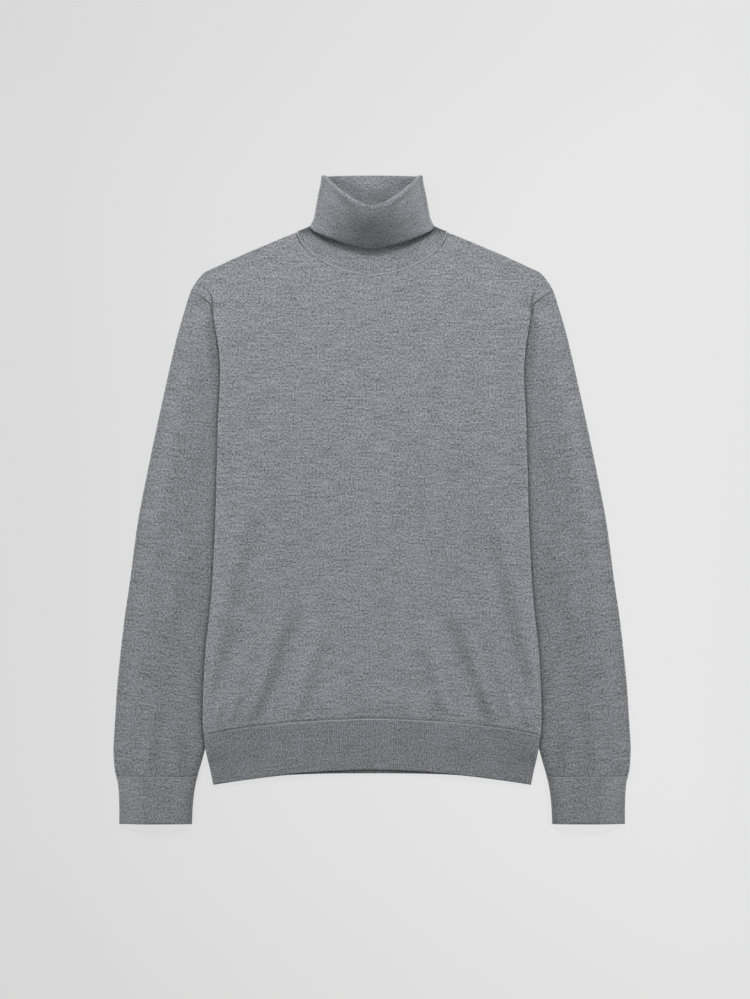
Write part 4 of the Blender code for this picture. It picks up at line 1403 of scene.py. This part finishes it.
def stitchRow(name, rings, inside, yarn):
    # A row of linking stitches round the first ring of a rib piece, on its outer face.
    first = rings[0]
    down = rings[1] - rings[0]
    down /= np.linalg.norm(down, axis=1, keepdims=True)
    out = normals(rings)[0]
    out *= np.sign((out * (first - first.mean(axis=0))).sum())
    path = first + down * inside + out * (wall / 2 - stitches["sink"])
    path[:, 2] = np.maximum(path[:, 2], stitches["width"] / 2)
    count = len(path)
    mesh = bpy.data.meshes.new(name)
    mesh.from_pydata(path.tolist(), [(i, (i + 1) % count) for i in range(count)], [])
    row = bpy.data.objects.new(name, mesh)
    bpy.context.scene.collection.objects.link(row)
    repeat = row.modifiers.new("stitches", "NODES")
    repeat.node_group = linking
    for key in ("pitch", "length", "width"):
        repeat[linkingSockets[key]] = stitches[key]
    repeat[linkingSockets["yarn"]] = yarn
    graph = bpy.context.evaluated_depsgraph_get()
    finished = bpy.data.meshes.new_from_object(row.evaluated_get(graph))
    row.modifiers.clear()
    row.data = finished
    finished.name = name
    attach(row, "root")
    return row


hemStitches = stitchRow("hemStitches", hemRings, stitches["hemInside"], hemYarn)
neckStitches = stitchRow("neckStitches", collarRings, stitches["neckInside"], neckYarn)
leftCuffStitches = stitchRow("leftCuffStitches", cuffRings, stitches["cuffInside"], cuffYarn)
rightCuffStitches = stitchRow("rightCuffStitches", otherSide(cuffRings), stitches["cuffInside"],
                              cuffYarn)
print("stitches made")

# Pale floor, soft light from above the neck, and the camera straight over the middle. A narrow
# lamp at each side lights its own half, from the side fold inwards.
studio = {
    "floorHalf": 12.0,
    "floorDrop": 0.0001,        # below the cloth, so that the two don't meet
    "floorLeft": 0.73,
    "floorRight": 0.82,
    "acrossRate": 1.3,          # share of that change in a metre
    "alongRate": 0.7,
    "floorSlope": -0.03,        # lighter away from the lamp, for an even tone
    "floorLit": 0.88,           # share of its tone that it gives off by itself
    "floorRoughness": 0.9,
    "floorSpecular": 0.1,
    "world": 0.06,
    "lens": 135.0,
    "sensor": 36.0,
    "frameHeight": 1.2238,
    "centreX": 0.00355,
    "centreY": -0.00043,
    "clipEnd": 50.0,
}
Lamp = namedtuple("Lamp", "name place target width length power spread")
stripSpread = math.radians(22)
lamps = (
    Lamp("keyLight", (0, 2.0, 1.64), (0, 0, 0), 1.42, 0.43, 47.0, math.pi),
    Lamp("stripLight", (-1.2, -0.01, 0.68), (-0.18, -0.01, 0), 1.0, 0.3, 0.585, stripSpread),
    Lamp("stripLight", (1.2, -0.01, 0.68), (0.18, -0.01, 0), 1.0, 0.3, 0.585, stripSpread),
)


def addFloor():
    mesh = bpy.data.meshes.new("floor")
    half = studio["floorHalf"]
    mesh.from_pydata([(-half, -half, 0), (half, -half, 0), (half, half, 0), (-half, half, 0)],
                     [], [(0, 1, 2, 3)])
    floor = bpy.data.objects.new("floor", mesh)
    floor.location.z = -studio["floorDrop"]
    bpy.context.scene.collection.objects.link(floor)
    material, tree = newMaterial("paleFloor")
    place = make(tree, "ShaderNodeTexCoord", {}, {})
    split = make(tree, "ShaderNodeSeparateXYZ", {}, {0: Value(tree, place.outputs["Object"])})
    share = (Value(tree, split.outputs[0]) * studio["acrossRate"] + 0.5).clamped()
    reach = (Value(tree, split.outputs[1]) * studio["alongRate"] + 0.5).clamped() - 0.5
    tone = studio["floorLeft"] + (studio["floorRight"] - studio["floorLeft"]) * share
    tone = tone + reach * studio["floorSlope"]
    lit = studio["floorLit"]
    white = (1.0, 1.0, 1.0)
    colour = make(tree, "ShaderNodeVectorMath", {"operation": "SCALE"}, {
        0: white, "Scale": tone * (1.0 - lit),
    })
    glow = make(tree, "ShaderNodeVectorMath", {"operation": "SCALE"}, {0: white, "Scale": tone})
    shader = make(tree, "ShaderNodeBsdfPrincipled", {}, {
        "Base Color": Value(tree, colour.outputs[0]), "Roughness": studio["floorRoughness"],
        "Specular IOR Level": studio["floorSpecular"],
        "Emission Color": Value(tree, glow.outputs[0]), "Emission Strength": lit,
    })
    output = make(tree, "ShaderNodeOutputMaterial", {}, {})
    tree.links.new(shader.outputs[0], output.inputs["Surface"])
    mesh.materials.append(material)


def addLamp(given):
    lamp = bpy.data.lights.new(given.name, "AREA")
    lamp.shape = "RECTANGLE"
    lamp.size = given.width
    lamp.size_y = given.length
    lamp.energy = given.power
    lamp.spread = given.spread
    light = bpy.data.objects.new(given.name, lamp)
    light.location = given.place
    aim = Vector(given.target) - Vector(given.place)
    light.rotation_euler = aim.to_track_quat("-Z", "Y").to_euler()
    bpy.context.scene.collection.objects.link(light)


def addCamera():
    lens = bpy.data.cameras.new("camera")
    lens.lens = studio["lens"]
    lens.sensor_width = studio["sensor"]
    lens.clip_end = studio["clipEnd"]
    camera = bpy.data.objects.new("camera", lens)
    distance = studio["lens"] / studio["sensor"] * studio["frameHeight"]
    camera.location = (studio["centreX"], studio["centreY"], distance)
    bpy.context.scene.collection.objects.link(camera)
    bpy.context.scene.camera = camera


def addWorld():
    world = bpy.data.worlds.new("studio")
    world.use_nodes = True
    sky = world.node_tree.nodes["Background"]
    sky.inputs["Color"].default_value = (1.0, 1.0, 1.0, 1.0)
    sky.inputs["Strength"].default_value = studio["world"]
    bpy.context.scene.world = world
    bpy.context.scene.view_settings.view_transform = "Standard"


addFloor()
for lamp in lamps:
    addLamp(lamp)
addCamera()
addWorld()
print("studio set")
